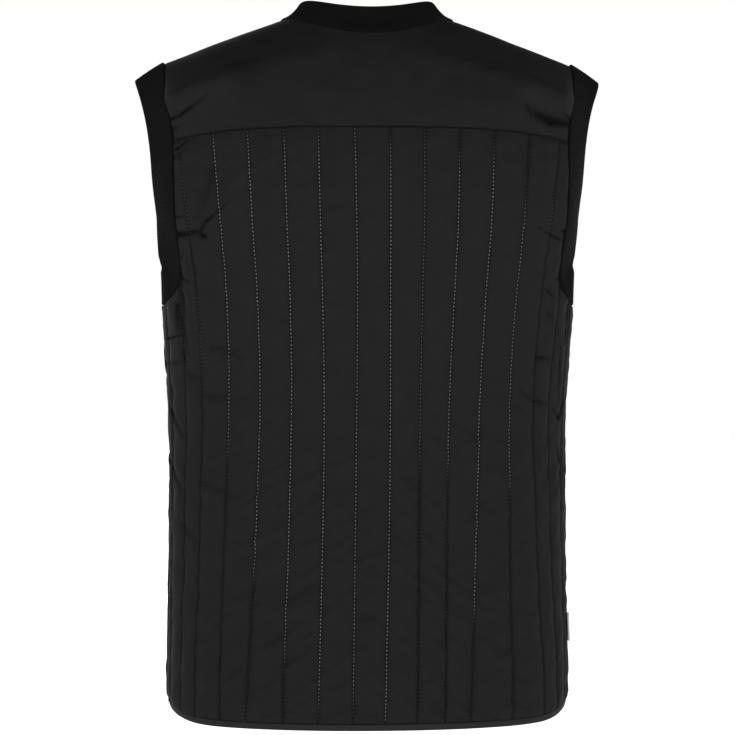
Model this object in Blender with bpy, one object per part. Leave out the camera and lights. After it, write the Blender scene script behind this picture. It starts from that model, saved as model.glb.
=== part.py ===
"""A padded thermal vest, kept in its worn, hollow form.

Metres, +Z up. The front faces -Y, the back faces +Y and the wearer's left side is +X.
The origin lies on the centre line between the shoulders that hold the vest up.
"""

import math
from collections import namedtuple

import bmesh
import bpy
import numpy as np
from mathutils import Matrix, Vector

# Cloth thicknesses
SEAM_GAP = 0.0003
BAND_GAP = 0.0004
WALL = 0.0022
CHANNEL_PUFF = 0.0036
CROWN_POWER = 2.2
YOKE_PUFF = 0.0018
EDGE_FADE = 0.006
FAR_AWAY = 1.0
THINNEST = 0.0012
RIB_WALL = 0.0026
HEM_WALL = 0.0034

# Quilting, counted in channels from the centre line to the side seam
CHANNELS = {"back": 8.5, "front": 9.0}
CHANNEL_PITCH = 0.0308
COLUMNS_PER_CHANNEL = 4
CLOSEST_COLUMNS = 0.1
FRONT_EDGE_CHANNEL = 0.18
SEAM_SETBACK = 0.045

# Heights
HEM_CENTRE = -0.6727
HEM_SIDE = -0.657
HEM_RISE_CHANNEL = 4.5
HEM_BAND = 0.007
UNDERARM = -0.2635
FORK = -0.2155
FORK_CHANNEL = 6.25
LAST_STRAIGHT_CHANNEL = 5.5
YOKE_SEAM = -0.0985
YOKE_SEAM_DROP = 0.007
YOKE_SEAM_HALF = 0.189

# Neck and shoulders
NECK_HALF = 0.0865
NECK_BACK_Y = 0.068
NECK_FRONT_Y = -0.087
TIP_HALF = 0.2015
TIP_HEIGHT = -0.026
NECK_HEIGHT = 0.0165
NECK_ROUNDING = 0.05
RIDGE_Y = -0.008
SHOULDER_SEAM_Y = -0.020
TIP_SEAM_Y = -0.011
PAST_SHOULDER_TURN = 0.9
DOME_BASE = {"back": -0.17, "front": -0.20}
DOME_POWER = {"back": 2.0, "front": 1.5}
TIP_POWER = {"back": 2.5, "front": 2.2}
NECK_CORNER_CHANNEL = 2.75
TOP_CHANNEL = {"back": 5.8, "front": NECK_CORNER_CHANNEL * TIP_HALF / NECK_HALF}

# Collar band: how far it leans in and rises at the sides, the back and the front
Lean = namedtuple("Lean", "inward rise")
COLLAR = {"side": Lean(0.021, 0.020), "back": Lean(0.010, 0.028), "front": Lean(0.010, 0.022)}
COLLAR_WALL = 0.003
COLLAR_FLARE = 0.45
BAND_ROWS = 4

# Armhole bands: they turn in towards the arm, most where the cloth faces the back or the front
CUFF_WIDTH = 0.034
CUFF_TURN = math.radians(24.0)
CUFF_TOP_TURN = math.radians(8.0)
CUFF_FLARE = 0.4

# Zip
CHAIN_HALF = 0.003
CHAIN_FRONT = 0.0012
TAPE_HALF = 0.0125
TAPE_FRONT = -0.0005
TAPE_BACK = -0.0013
SLIDER_LENGTH = 0.012
SLIDER_HALF_WIDTH = 0.0044
SLIDER_BELOW_TOP = 0.009
PLATE = 0.0013
POST = 0.0025
BAIL_LENGTH = 0.0078
BAIL_WIRE = 0.0013
BAIL_HALF_WIDTH = 0.0011
TUNNEL = 0.0028
PULL_LENGTH = 0.022
PULL_HALF_WIDTH = 0.0034
PULL_NECK_HALF_WIDTH = 0.0030
PULL_THICKNESS = 0.0014
PULL_BAR = 0.0015
PULL_WINDOW_HALF_WIDTH = 0.0017
PULL_WINDOW_LENGTH = 0.0052
PULL_END_STEPS = 10

# Blank label in the side seam, on the wearer's right
LABEL_LOW = -0.5985
LABEL_HIGH = -0.5705
LABEL_WALL = 0.0009
LABEL_LIFT = 0.0005
LABEL_COLUMNS = 3

# Sampling
RING_STEPS = 160
LINE_STEPS = 60
DOME_PASSES = 4
SHARP_ANGLE = math.radians(40.0)
MERGE_DISTANCE = 0.00001
LOWER_ROWS = (0.0, 0.021, 0.10, 0.19, 0.28, 0.37, 0.46, 0.55, 0.64, 0.73, 0.81, 0.88, 0.94, 0.979, 1.0)
BACK_ROWS = (0.0, 0.16, 0.33, 0.50, 0.67, 0.82, 0.93, 1.0)
FRONT_ROWS = (0.0, 0.10, 0.21, 0.33, 0.45, 0.57, 0.69, 0.81, 0.92, 1.0)
YOKE_ROWS = (0.0, 0.07, 0.2, 0.36, 0.52, 0.68, 0.82, 0.94, 1.0)
YOKE_NECK_CELLS = 10
YOKE_SHOULDER_CHANNELS = (2.75, 3.5, 4.25, 5.0, 5.5, 5.75, 6.0, 6.25)

# The inside of the cloth, level by level: half width at the sides, depths and roundness powers
Level = namedtuple("Level", "height half_width back_depth back_power front_depth front_power")
LEVELS = (
    Level(-0.690, 0.1945, 0.1195, 2.10, 0.1160, 2.10),
    Level(-0.625, 0.1960, 0.1190, 2.10, 0.1170, 2.10),
    Level(-0.565, 0.1945, 0.1155, 2.10, 0.1170, 2.10),
    Level(-0.465, 0.1935, 0.1115, 2.10, 0.1175, 2.12),
    Level(-0.365, 0.1940, 0.1130, 2.15, 0.1200, 2.20),
    Level(-0.305, 0.1978, 0.1170, 2.30, 0.1225, 2.30),
    Level(-0.2635, 0.2003, 0.1200, 2.50, 0.1240, 2.40),
    Level(-0.215, 0.2050, 0.1225, 2.80, 0.1235, 2.60),
    Level(-0.170, 0.2150, 0.1235, 3.10, 0.1220, 2.80),
    Level(-0.120, 0.2150, 0.1235, 3.10, 0.1220, 2.80),
)

# Armhole edges above the fork, where they part from the underarm curve
EdgeLevel = namedtuple("EdgeLevel", "height half_width")
ARMHOLE_EDGE = {
    "back": (
        EdgeLevel(-0.2155, 0.1830),
        EdgeLevel(-0.186, 0.1868),
        EdgeLevel(-0.150, 0.1888),
        EdgeLevel(-0.105, 0.1900),
        EdgeLevel(-0.080, 0.1933),
        EdgeLevel(-0.050, 0.1982),
        EdgeLevel(-0.026, 0.2015),
    ),
    "front": (
        EdgeLevel(-0.2155, 0.1850),
        EdgeLevel(-0.190, 0.1805),
        EdgeLevel(-0.150, 0.1765),
        EdgeLevel(-0.110, 0.1785),
        EdgeLevel(-0.080, 0.1840),
        EdgeLevel(-0.050, 0.1930),
        EdgeLevel(-0.026, 0.2015),
    ),
}

# Largest folds: soft troughs pressed into the outside, between two points seen square on
Fold = namedtuple("Fold", "panel x_from z_from x_to z_to half_width depth")
FOLDS = (
    Fold("back", 0.186, -0.196, 0.157, -0.199, 0.010, 0.0030),
    Fold("back", 0.157, -0.199, 0.132, -0.172, 0.010, 0.0024),
    Fold("back", 0.196, -0.270, 0.182, -0.312, 0.011, 0.0028),
    Fold("back", 0.199, -0.345, 0.180, -0.400, 0.012, 0.0024),
    Fold("back", -0.186, -0.200, -0.168, -0.203, 0.009, 0.0026),
    Fold("back", -0.192, -0.285, -0.168, -0.335, 0.012, 0.0026),
    Fold("back", -0.196, -0.330, -0.172, -0.300, 0.011, 0.0022),
    Fold("yoke", 0.196, -0.085, 0.156, -0.064, 0.010, 0.0018),
    Fold("yoke", -0.196, -0.090, -0.152, -0.070, 0.013, 0.0022),
    Fold("front", 0.178, -0.200, 0.150, -0.205, 0.010, 0.0028),
    Fold("front", 0.192, -0.280, 0.172, -0.330, 0.012, 0.0026),
    Fold("front", -0.178, -0.190, -0.146, -0.202, 0.010, 0.0028),
    Fold("front", -0.195, -0.290, -0.170, -0.325, 0.012, 0.0026),
)

# Plain colours
SATIN_BLACK = (0.012, 0.012, 0.013)
RIB_BLACK = (0.008, 0.008, 0.009)
LABEL_GREY = (0.24, 0.24, 0.25)
DARK_METAL = (0.03, 0.03, 0.032)

FACING = {"back": 1.0, "front": -1.0}
VEST_CENTRE = np.array((0.0, 0.0, -0.35))
MIRROR = np.array((-1.0, 1.0, 1.0))

# Steps for finding how the surface slopes
CHANNEL_STEP = 0.02
SHARE_STEP = 0.004
LENGTH_STEP = 0.001

# A place on the cloth's inside, and on a seam the way out of the panel
Place = namedtuple("Place", "point normal")
SeamPlace = namedtuple("SeamPlace", "point normal leave")


def clear_scene():
    for item in list(bpy.data.objects):
        bpy.data.objects.remove(item, do_unlink=True)


def make_collection(name):
    group = bpy.data.collections.new(name)
    bpy.context.scene.collection.children.link(group)
    return group


def make_material(name, colour, roughness, metallic=0.0):
    finish = bpy.data.materials.new(name)
    finish.use_nodes = True
    shader = finish.node_tree.nodes["Principled BSDF"]
    shader.inputs["Base Color"].default_value = (*colour, 1.0)
    shader.inputs["Roughness"].default_value = roughness
    shader.inputs["Metallic"].default_value = metallic
    return finish


def smooth_step(share):
    share = np.clip(share, 0.0, 1.0)
    return share * share * (3.0 - 2.0 * share)


def smooth_column(table, column, height):
    """One column of a table at the given heights, on a smooth curve through its rows."""
    heights = np.array([row.height for row in table])
    values = np.array([getattr(row, column) for row in table])
    slopes = np.gradient(values, heights)
    at = np.clip(height, heights[0], heights[-1])
    low = np.clip(np.searchsorted(heights, at) - 1, 0, len(heights) - 2)
    span = heights[low + 1] - heights[low]
    t = (at - heights[low]) / span
    rise = smooth_step(t)
    leave = t * (1.0 - t) ** 2
    arrive = t * t * (t - 1.0)
    bend = span * (leave * slopes[low] + arrive * slopes[low + 1])
    return values[low] * (1.0 - rise) + values[low + 1] * rise + bend


def level(column, height):
    return smooth_column(LEVELS, column, height)


def half_ring(height):
    """The +X half of one level ring, from centre back to centre front: x, y and arc length."""
    turn = np.linspace(0.0, math.pi / 2, RING_STEPS)
    half_width = level("half_width", height)
    quarters = {}
    for side, facing in FACING.items():
        power = 2.0 / level(side + "_power", height)
        x = half_width * np.sin(turn) ** power
        y = facing * level(side + "_depth", height) * np.cos(turn) ** power
        quarters[side] = np.column_stack((x, y))
    ring = np.vstack((quarters["back"], quarters["front"][-2::-1]))
    steps = np.linalg.norm(np.diff(ring, axis=0), axis=1)
    arc = np.concatenate(([0.0], np.cumsum(steps)))
    return ring[:, 0], ring[:, 1], arc


def on_ring(side, channel, height):
    """x and y of a channel position, counted from that side's centre line, on one level ring."""
    x, y, arc = half_ring(height)
    seam = arc[RING_STEPS - 1] * (1.0 - SEAM_SETBACK)
    share = np.asarray(channel) / CHANNELS[side]
    if side == "back":
        at = share * seam
    else:
        at = arc[-1] - share * (arc[-1] - seam)
    return np.interp(at, arc, x), np.interp(at, arc, y)


def ring_depth(side, x, height):
    """y of the cloth's inside at x, on one level ring."""
    power = level(side + "_power", height)
    share = np.clip(np.abs(x) / level("half_width", height), 0.0, 1.0)
    return FACING[side] * level(side + "_depth", height) * (1.0 - share**power) ** (1.0 / power)


def hem_height(side, channel):
    share = np.clip((channel - HEM_RISE_CHANNEL) / (CHANNELS[side] - HEM_RISE_CHANNEL), 0.0, 1.0)
    return HEM_CENTRE + (HEM_SIDE - HEM_CENTRE) * share**2


def underarm_height(side, channel):
    """Top of the panel below the armhole, a quarter of an oval from the fork to the side seam."""
    run = CHANNELS[side] - FORK_CHANNEL
    share = np.clip((CHANNELS[side] - channel) / run, 0.0, 1.0)
    return UNDERARM + (FORK - UNDERARM) * (1.0 - math.sqrt(1.0 - share * share))


def ridge_height(x):
    """Height of the shoulder line, rounded where it would cross the neck."""
    neck_run = math.hypot(NECK_HALF, NECK_ROUNDING)
    tip_run = math.hypot(TIP_HALF, NECK_ROUNDING)
    fall = (NECK_HEIGHT - TIP_HEIGHT) / (tip_run - neck_run)
    return NECK_HEIGHT - fall * (np.hypot(x, NECK_ROUNDING) - neck_run)


def above_fork(height):
    return smooth_step((height - FORK) / (YOKE_SEAM - FORK))


def edge_channel(side, height):
    """Channel position at which the armhole edge cuts the quilting."""
    return FORK_CHANNEL + (TOP_CHANNEL[side] - FORK_CHANNEL) * above_fork(height)


def upper_channel(side, column, height):
    """Channel position of a column: those beyond the last straight one follow the armhole edge."""
    if column <= LAST_STRAIGHT_CHANNEL:
        return np.full_like(height, column)
    spread = (edge_channel(side, height) - LAST_STRAIGHT_CHANNEL) / (FORK_CHANNEL - LAST_STRAIGHT_CHANNEL)
    return LAST_STRAIGHT_CHANNEL + (column - LAST_STRAIGHT_CHANNEL) * spread


def column_share(side, column, height):
    """Share of the armhole's half width at which a column runs."""
    channel = upper_channel(side, column, height)
    edge = edge_channel(side, height)
    round_share = on_ring(side, channel, FORK)[0] / on_ring(side, edge, FORK)[0]
    flat_share = channel / edge
    return round_share + (flat_share - round_share) * above_fork(height)


def dome_line(side, share_at, turns):
    """Points over a shoulder, from the level ring (turn 0) to the shoulder line (a quarter turn)."""
    base = DOME_BASE[side]
    height = np.full_like(turns, base)
    for _ in range(DOME_PASSES):
        x = smooth_column(ARMHOLE_EDGE[side], "half_width", height) * share_at(height)
        power = 2.0 / (DOME_POWER[side] + (TIP_POWER[side] - DOME_POWER[side]) * (x / TIP_HALF) ** 2)
        height = base + (ridge_height(x) - base) * np.sin(turns) ** power
    reach = ring_depth(side, x, base) - RIDGE_Y
    y = RIDGE_Y + reach * np.cos(turns) ** power
    return np.column_stack((x, y, height))


def column_line(side, column):
    """Points up one column, from the fork to the shoulder line."""

    def share_at(height):
        return column_share(side, column, height)

    low = np.linspace(FORK, DOME_BASE[side], LINE_STEPS, endpoint=False)
    x = smooth_column(ARMHOLE_EDGE[side], "half_width", low) * share_at(low)
    straight = np.column_stack((x, ring_depth(side, x, low), low))
    dome = dome_line(side, share_at, np.linspace(0.0, math.pi / 2, LINE_STEPS))
    return np.vstack((straight, dome))


def yoke_line(share):
    """Points up the back and a little over the shoulder line, at one share of its half width."""

    def share_at(height):
        return np.full_like(height, share)

    back = dome_line("back", share_at, np.linspace(0.0, math.pi / 2, LINE_STEPS))
    front = dome_line("front", share_at, np.linspace(math.pi / 2, PAST_SHOULDER_TURN, LINE_STEPS)[1:])
    return np.vstack((back, front))


def yoke_seam_height(x):
    return YOKE_SEAM - YOKE_SEAM_DROP * (x / YOKE_SEAM_HALF) ** 2


def top_edge_y(side, x):
    """y at which a panel ends: at the neckline, or at the shoulder seam beyond it."""
    neck_y = {"back": NECK_BACK_Y, "front": NECK_FRONT_Y}[side]
    share = np.clip(np.abs(x) / NECK_HALF, 0.0, 1.0)
    neckline = (neck_y - SHOULDER_SEAM_Y) * np.sqrt(1.0 - share * share)
    along_shoulder = np.clip((np.abs(x) - NECK_HALF) / (TIP_HALF - NECK_HALF), 0.0, 1.0)
    return SHOULDER_SEAM_Y + neckline + (TIP_SEAM_Y - SHOULDER_SEAM_Y) * along_shoulder


def unit(vector):
    return vector / np.linalg.norm(vector)


def outward_normal(point, along, across):
    normal = unit(np.cross(along, across))
    return normal * np.sign(normal @ (point - VEST_CENTRE))


def line_lengths(line):
    steps = np.linalg.norm(np.diff(line, axis=0), axis=1)
    return np.concatenate(([0.0], np.cumsum(steps)))


def crossing(line, signed):
    """Length along a line at which a value first rises through zero."""
    lengths = line_lengths(line)
    after = int(np.argmax(signed >= 0.0))
    before = after - 1
    share = -signed[before] / (signed[after] - signed[before])
    return lengths[before] + share * (lengths[after] - lengths[before])


def point_along(line, at):
    lengths = line_lengths(line)
    return np.array([np.interp(at, lengths, line[:, axis]) for axis in range(3)])


def line_place(line, near, far, at):
    """The place at one length along a line, with its normal from the lines on each side of it."""
    point = point_along(line, at)
    along = point_along(line, at + LENGTH_STEP) - point_along(line, at - LENGTH_STEP)
    across = point_along(far, at) - point_along(near, at)
    return Place(point, outward_normal(point, along, across))


def ring_place(side, channel, height):
    """The place at a channel position on one level ring."""

    def point_at(c, z):
        x, y = on_ring(side, c, z)
        return np.array((float(x), float(y), z))

    point = point_at(channel, height)
    along = point_at(channel, height + LENGTH_STEP) - point_at(channel, height - LENGTH_STEP)
    near = max(channel - CHANNEL_STEP, 0.0)
    far = min(channel + CHANNEL_STEP, CHANNELS[side])
    across = point_at(far, height) - point_at(near, height)
    return Place(point, outward_normal(point, along, across))


def on_side(place, signed):
    """The place, moved across the centre line for a negative column."""
    if signed >= 0.0:
        return place
    return Place(place.point * MIRROR, place.normal * MIRROR)


def fold_depth(panel, point):
    """How far the folds press the outside in at a point."""
    total = 0.0
    for fold in FOLDS:
        if fold.panel != panel:
            continue
        start = np.array((fold.x_from, fold.z_from))
        run = np.array((fold.x_to, fold.z_to)) - start
        offset = np.array((point[0], point[2])) - start
        share = np.clip(offset @ run / (run @ run), 0.0, 1.0)
        distance = np.linalg.norm(offset - share * run)
        total += fold.depth * math.exp(-((distance / fold.half_width) ** 2))
    return total


def quilt_thickness(channel, edge_distance):
    """Thickness of a quilted wall: thin at its stitch lines and edges, full between them."""
    across = 2.0 * abs(channel % 1.0 - 0.5)
    crown = 1.0 - (1.0 - across) ** CROWN_POWER
    fade = 1.0 - math.exp(-((edge_distance / EDGE_FADE) ** 2))
    return WALL + CHANNEL_PUFF * crown * fade


class Panel:
    """One cut piece of cloth: points of its inside, their normals and thicknesses, and its cells."""

    def __init__(self, name):
        self.name = name
        self.inside = {}
        self.normals = {}
        self.thickness = {}
        self.cells = []
        self.inner_cells = []

    def add_point(self, key, place, thickness):
        self.inside[key] = place.point
        self.normals[key] = place.normal
        self.thickness[key] = thickness

    def add_grid(self, rows, columns, inner_columns):
        """Cells between rows and columns. The plain inside has fewer columns, but not at its ends."""
        ends = (rows[0], rows[-1])
        for low, high in zip(rows, rows[1:]):
            for near, far in zip(columns, columns[1:]):
                self.cells.append([(low, near), (low, far), (high, far), (high, near)])
            for near, far in zip(inner_columns, inner_columns[1:]):
                first = columns.index(near)
                every = columns[first : columns.index(far, first + 1) + 1]
                below = every if low in ends else [near, far]
                above = every if high in ends else [near, far]
                self.inner_cells.append([(low, c) for c in below] + [(high, c) for c in reversed(above)])

    def face_out(self):
        """Turn the cells so that they run anticlockwise seen from outside."""
        corners = [self.inside[key] for key in self.cells[0]]
        facing = np.cross(corners[2] - corners[0], corners[3] - corners[1])
        if facing @ self.normals[self.cells[0][0]] < 0.0:
            self.cells = [cell[::-1] for cell in self.cells]
            self.inner_cells = [cell[::-1] for cell in self.inner_cells]

    def outside(self, key):
        return self.inside[key] + self.normals[key] * self.thickness[key]

    def mirrored(self, name):
        """The same piece for the other side, across the centre line."""
        twin = Panel(name)
        twin.inside = {key: point * MIRROR for key, point in self.inside.items()}
        twin.normals = {key: normal * MIRROR for key, normal in self.normals.items()}
        twin.thickness = dict(self.thickness)
        twin.cells = [cell[::-1] for cell in self.cells]
        twin.inner_cells = [cell[::-1] for cell in self.inner_cells]
        return twin

    def press_folds(self, panel):
        for key, point in self.inside.items():
            self.thickness[key] = max(THINNEST, self.thickness[key] - fold_depth(panel, point))


def boundary(cells):
    """Next key along the open edge of some cells, for each key on it."""
    edges = {(cell[i - 1], cell[i]) for cell in cells for i in range(len(cell))}
    return {start: end for start, end in edges if (end, start) not in edges}


def wall_object(panel, group, finish):
    """A closed wall: the raised outside, the plain inside and a rim that joins their edges."""
    shape = bmesh.new()
    outer_edge = boundary(panel.cells)
    inner_edge = boundary(panel.inner_cells)
    outer_keys = {key for cell in panel.cells for key in cell}
    inner_keys = {key for cell in panel.inner_cells for key in cell}
    outer = {key: shape.verts.new(panel.outside(key)) for key in outer_keys}
    inner = {key: shape.verts.new(panel.inside[key]) for key in inner_keys}
    for cell in panel.cells:
        shape.faces.new([outer[key] for key in cell])
    for cell in panel.inner_cells:
        shape.faces.new([inner[key] for key in reversed(cell)])
    for start, end in inner_edge.items():
        chain = [start]
        while chain[-1] != end:
            chain.append(outer_edge[chain[-1]])
        shape.faces.new([outer[key] for key in reversed(chain)] + [inner[start], inner[end]])
    return object_from(shape, panel.name, group, finish)


def object_from(shape, name, group, finish):
    mesh = bpy.data.meshes.new(name)
    shape.to_mesh(mesh)
    shape.free()
    mesh.materials.append(finish)
    mesh.shade_smooth()
    mesh.set_sharp_from_angle(angle=SHARP_ANGLE)
    item = bpy.data.objects.new(name, mesh)
    group.objects.link(item)
    return item


def quilt_columns(first, last):
    """Column positions in channels, a fixed number to a channel, with the two given ends."""
    count = round(last * COLUMNS_PER_CHANNEL)
    regular = [index / COLUMNS_PER_CHANNEL for index in range(-count, count + 1)]
    kept = [column for column in regular if first + CLOSEST_COLUMNS < column < last - CLOSEST_COLUMNS]
    return [first] + kept + [last]


def plain_columns(columns, extra):
    """The columns on stitch lines, with the first, the last and any others named."""
    return [
        column
        for column in columns
        if abs(column) % 1.0 == 0.5 or column in (columns[0], columns[-1]) or column in extra
    ]


def add_lower_rows(panel, side, columns, to_zip):
    """Rows of a quilted panel from its hem to the fork or the underarm."""
    for column in columns:
        channel = abs(column)
        low = hem_height(side, channel) + HEM_BAND + SEAM_GAP
        high = underarm_height(side, channel)
        to_underarm = 0.0 if channel > FORK_CHANNEL else FAR_AWAY
        for row, share in enumerate(LOWER_ROWS):
            height = low + (high - low) * share
            to_edge = min(height - low, high - height + to_underarm, to_zip(channel))
            place = on_side(ring_place(side, channel, height), column)
            panel.add_point((row, column), place, quilt_thickness(channel, to_edge))


def add_upper_rows(panel, side, columns, rows, top_test, to_zip):
    """Rows of a quilted panel between the fork and its top edge."""
    for column in columns:
        channel = abs(column)
        line = column_line(side, channel)
        near = column_line(side, max(channel - CHANNEL_STEP, 0.0))
        far = column_line(side, channel + CHANNEL_STEP)
        top = crossing(line, top_test(line)) - SEAM_GAP / 2
        for step, share in enumerate(rows[1:], start=1):
            place = line_place(line, near, far, top * share)
            height = place.point[2]
            here = float(upper_channel(side, channel, height))
            to_armhole = (float(edge_channel(side, height)) - here) * CHANNEL_PITCH
            to_edge = min(top * (1.0 - share), to_armhole, to_zip(channel))
            key = (len(LOWER_ROWS) - 1 + step, column)
            panel.add_point(key, on_side(place, column), quilt_thickness(here, to_edge))


def side_seam(side):
    """Channel position of a panel's edge at the side seam."""
    return CHANNELS[side] - SEAM_GAP / 2 / CHANNEL_PITCH


def quilted_panel(name, side, columns, rows, top_test, to_zip, extra):
    """A quilted panel: all columns below the fork, and those inside the armhole above it."""
    panel = Panel(name)
    upper = [column for column in columns if abs(column) <= FORK_CHANNEL]
    add_lower_rows(panel, side, columns, to_zip)
    add_upper_rows(panel, side, upper, rows, top_test, to_zip)
    panel.columns = columns
    panel.fork_row = len(LOWER_ROWS) - 1
    panel.top_row = panel.fork_row + len(rows) - 1
    panel.add_grid(range(panel.fork_row + 1), columns, plain_columns(columns, extra))
    panel.add_grid(range(panel.fork_row, panel.top_row + 1), upper, plain_columns(upper, extra))
    panel.face_out()
    return panel


def back_panel():
    """The quilted back, from the hem to the yoke seam."""

    def above_yoke_seam(line):
        return line[:, 2] - yoke_seam_height(line[:, 0])

    def to_zip(_):
        return FAR_AWAY

    columns = quilt_columns(-side_seam("back"), side_seam("back"))
    extra = (-FORK_CHANNEL, FORK_CHANNEL)
    return quilted_panel("back_panel", "back", columns, BACK_ROWS, above_yoke_seam, to_zip, extra)


def front_panel():
    """The quilted front on the wearer's left, from the zip to the side seam."""

    def past_top_edge(line):
        return line[:, 1] - top_edge_y("front", line[:, 0])

    def to_zip(channel):
        return (channel - FRONT_EDGE_CHANNEL) * CHANNEL_PITCH

    columns = quilt_columns(FRONT_EDGE_CHANNEL, side_seam("front"))
    extra = (FORK_CHANNEL, NECK_CORNER_CHANNEL)
    return quilted_panel("front_left", "front", columns, FRONT_ROWS, past_top_edge, to_zip, extra)


def yoke_panel():
    """The plain yoke, from the quilted back over the shoulders to the shoulder seams."""
    panel = Panel("back_yoke")
    over_shoulder = np.array(TIP_HEIGHT)
    channels = [float(upper_channel("front", column, over_shoulder)) for column in YOKE_SHOULDER_CHANNELS]
    shoulder = np.array(channels) / TOP_CHANNEL["front"]
    neck = -shoulder[0] * np.cos(np.linspace(0.0, math.pi, YOKE_NECK_CELLS + 1))
    shares = np.concatenate((-shoulder[:0:-1], neck, shoulder[1:]))
    for column, signed in enumerate(shares):
        share = abs(signed)
        line = yoke_line(share)
        near = yoke_line(max(share - SHARE_STEP, 0.0))
        far = yoke_line(share + SHARE_STEP)
        low = crossing(line, line[:, 2] - yoke_seam_height(line[:, 0])) + SEAM_GAP / 2
        top = crossing(line, top_edge_y("back", line[:, 0]) - line[:, 1]) - SEAM_GAP / 2
        for row, part in enumerate(YOKE_ROWS):
            at = low + (top - low) * part
            to_edge = min(at - low, top - at, (1.0 - share) * TIP_HALF)
            fade = 1.0 - math.exp(-((to_edge / EDGE_FADE) ** 2))
            place = on_side(line_place(line, near, far, at), signed)
            panel.add_point((row, column), place, WALL + YOKE_PUFF * fade)
    columns = list(range(len(shares)))
    panel.add_grid(range(len(YOKE_ROWS)), columns, columns)
    panel.face_out()
    panel.press_folds("yoke")
    panel.last_column = columns[-1]
    first_neck_column = len(YOKE_SHOULDER_CHANNELS) - 1
    panel.neck_columns = range(first_neck_column, first_neck_column + YOKE_NECK_CELLS + 1)
    return panel


def seam_place(panel, key, inner_keys):
    """The seam place at an edge key of a panel, leaving away from the keys inside that edge."""
    leave = sum(unit(panel.inside[key] - panel.inside[inner]) for inner in inner_keys)
    return SeamPlace(panel.inside[key], panel.normals[key], unit(leave))


def between(first, second):
    """One place for two panels' corners that meet on a seam."""
    return SeamPlace(
        (first.point + second.point) / 2.0,
        unit(first.normal + second.normal),
        unit(first.leave + second.leave),
    )


def square_off(places, closed):
    """The same places, each leaving square to the seam along the cloth."""
    points = np.array([place.point for place in places])
    if closed:
        along = np.roll(points, -1, axis=0) - np.roll(points, 1, axis=0)
    else:
        along = np.gradient(points, axis=0)
    squared = []
    for place, step in zip(places, along):
        leave = unit(np.cross(step, place.normal))
        squared.append(place._replace(leave=leave * np.sign(leave @ place.leave)))
    return squared


def armhole_side(panel, rows_down, column, next_column):
    return [seam_place(panel, (row, column), [(row, next_column)]) for row in rows_down]


def armhole_under(panel, columns):
    row = panel.fork_row
    return [seam_place(panel, (row, column), [(row - 1, column)]) for column in columns]


def armhole_loop(yoke, back, front):
    """Places round the left armhole: down the back from the shoulder, then up the front."""
    last = yoke.last_column
    yoke_side = armhole_side(yoke, range(len(YOKE_ROWS) - 1, -1, -1), last, last - 1)
    halves = {}
    for panel in (back, front):
        upper = [column for column in panel.columns if 0.0 < column <= FORK_CHANNEL]
        under = [column for column in panel.columns if column > FORK_CHANNEL]
        sides = range(panel.top_row, panel.fork_row, -1)
        down = armhole_side(panel, sides, upper[-1], upper[-2])
        fork = (panel.fork_row, FORK_CHANNEL)
        corner = seam_place(panel, fork, [(fork[0], upper[-2]), (fork[0] - 1, FORK_CHANNEL)])
        halves[panel.name] = down + [corner] + armhole_under(panel, under)
    back_half = halves[back.name]
    front_half = halves[front.name][::-1]
    return (
        [between(front_half[-1], yoke_side[0])]
        + yoke_side[1:-1]
        + [between(yoke_side[-1], back_half[0])]
        + back_half[1:-1]
        + [between(back_half[-1], front_half[0])]
        + front_half[1:-1]
    )


def cuff_edge_point(place):
    """Point of the cuff's free edge opposite a place on the armhole seam."""
    turn = CUFF_TURN * place.normal[1] ** 2 + CUFF_TOP_TURN * max(place.normal[2], 0.0) ** 2
    return place.point + CUFF_WIDTH * (place.leave * math.cos(turn) - place.normal * math.sin(turn))


def collar_edge_point(place):
    """Point of the collar's free edge above a place on the neck seam."""
    x, y, _ = place.point
    middle = (NECK_BACK_Y + NECK_FRONT_Y) / 2.0
    half_depth = (NECK_BACK_Y - NECK_FRONT_Y) / 2.0
    sideways = min(1.0, (x / NECK_HALF) ** 2)
    end = COLLAR["back"] if y > middle else COLLAR["front"]
    inward = end.inward + (COLLAR["side"].inward - end.inward) * sideways
    rise = end.rise + (COLLAR["side"].rise - end.rise) * sideways
    towards_neck = unit(np.array((-x / NECK_HALF**2, (middle - y) / half_depth**2, 0.0)))
    return place.point + towards_neck * inward + np.array((0.0, 0.0, rise))


def band_normal(points, row, column, closed):
    """Normal of a band's inside from the points around it."""
    rows, columns = points.shape[:2]
    along = points[min(row + 1, rows - 1), column] - points[max(row - 1, 0), column]
    if closed:
        across = points[row, (column + 1) % columns] - points[row, column - 1]
    else:
        across = points[row, min(column + 1, columns - 1)] - points[row, max(column - 1, 0)]
    return outward_normal(points[row, column], along, across)


def band_panel(name, places, edge_point, flare, thickness, closed):
    """A band of rib knit that leaves a seam along the cloth and bends to its own free edge."""
    panel = Panel(name)
    points = np.zeros((BAND_ROWS + 1, len(places), 3))
    for column, place in enumerate(places):
        start = place.point + place.leave * BAND_GAP
        end = edge_point(place)
        knee = start + place.leave * np.linalg.norm(end - start) * flare
        for row in range(BAND_ROWS + 1):
            t = row / BAND_ROWS
            points[row, column] = start * (1 - t) ** 2 + knee * 2 * t * (1 - t) + end * t * t
    if not closed:
        for end in (0, -1):
            points[:, end, 0] = places[end].point[0]
    for column, place in enumerate(places):
        for row in range(BAND_ROWS + 1):
            normal = place.normal if row == 0 else band_normal(points, row, column, closed)
            panel.add_point((row, column), Place(points[row, column], normal), thickness)
    columns = list(range(len(places)))
    if closed:
        columns.append(0)
    panel.add_grid(range(BAND_ROWS + 1), columns, columns)
    panel.face_out()
    return panel


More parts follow.
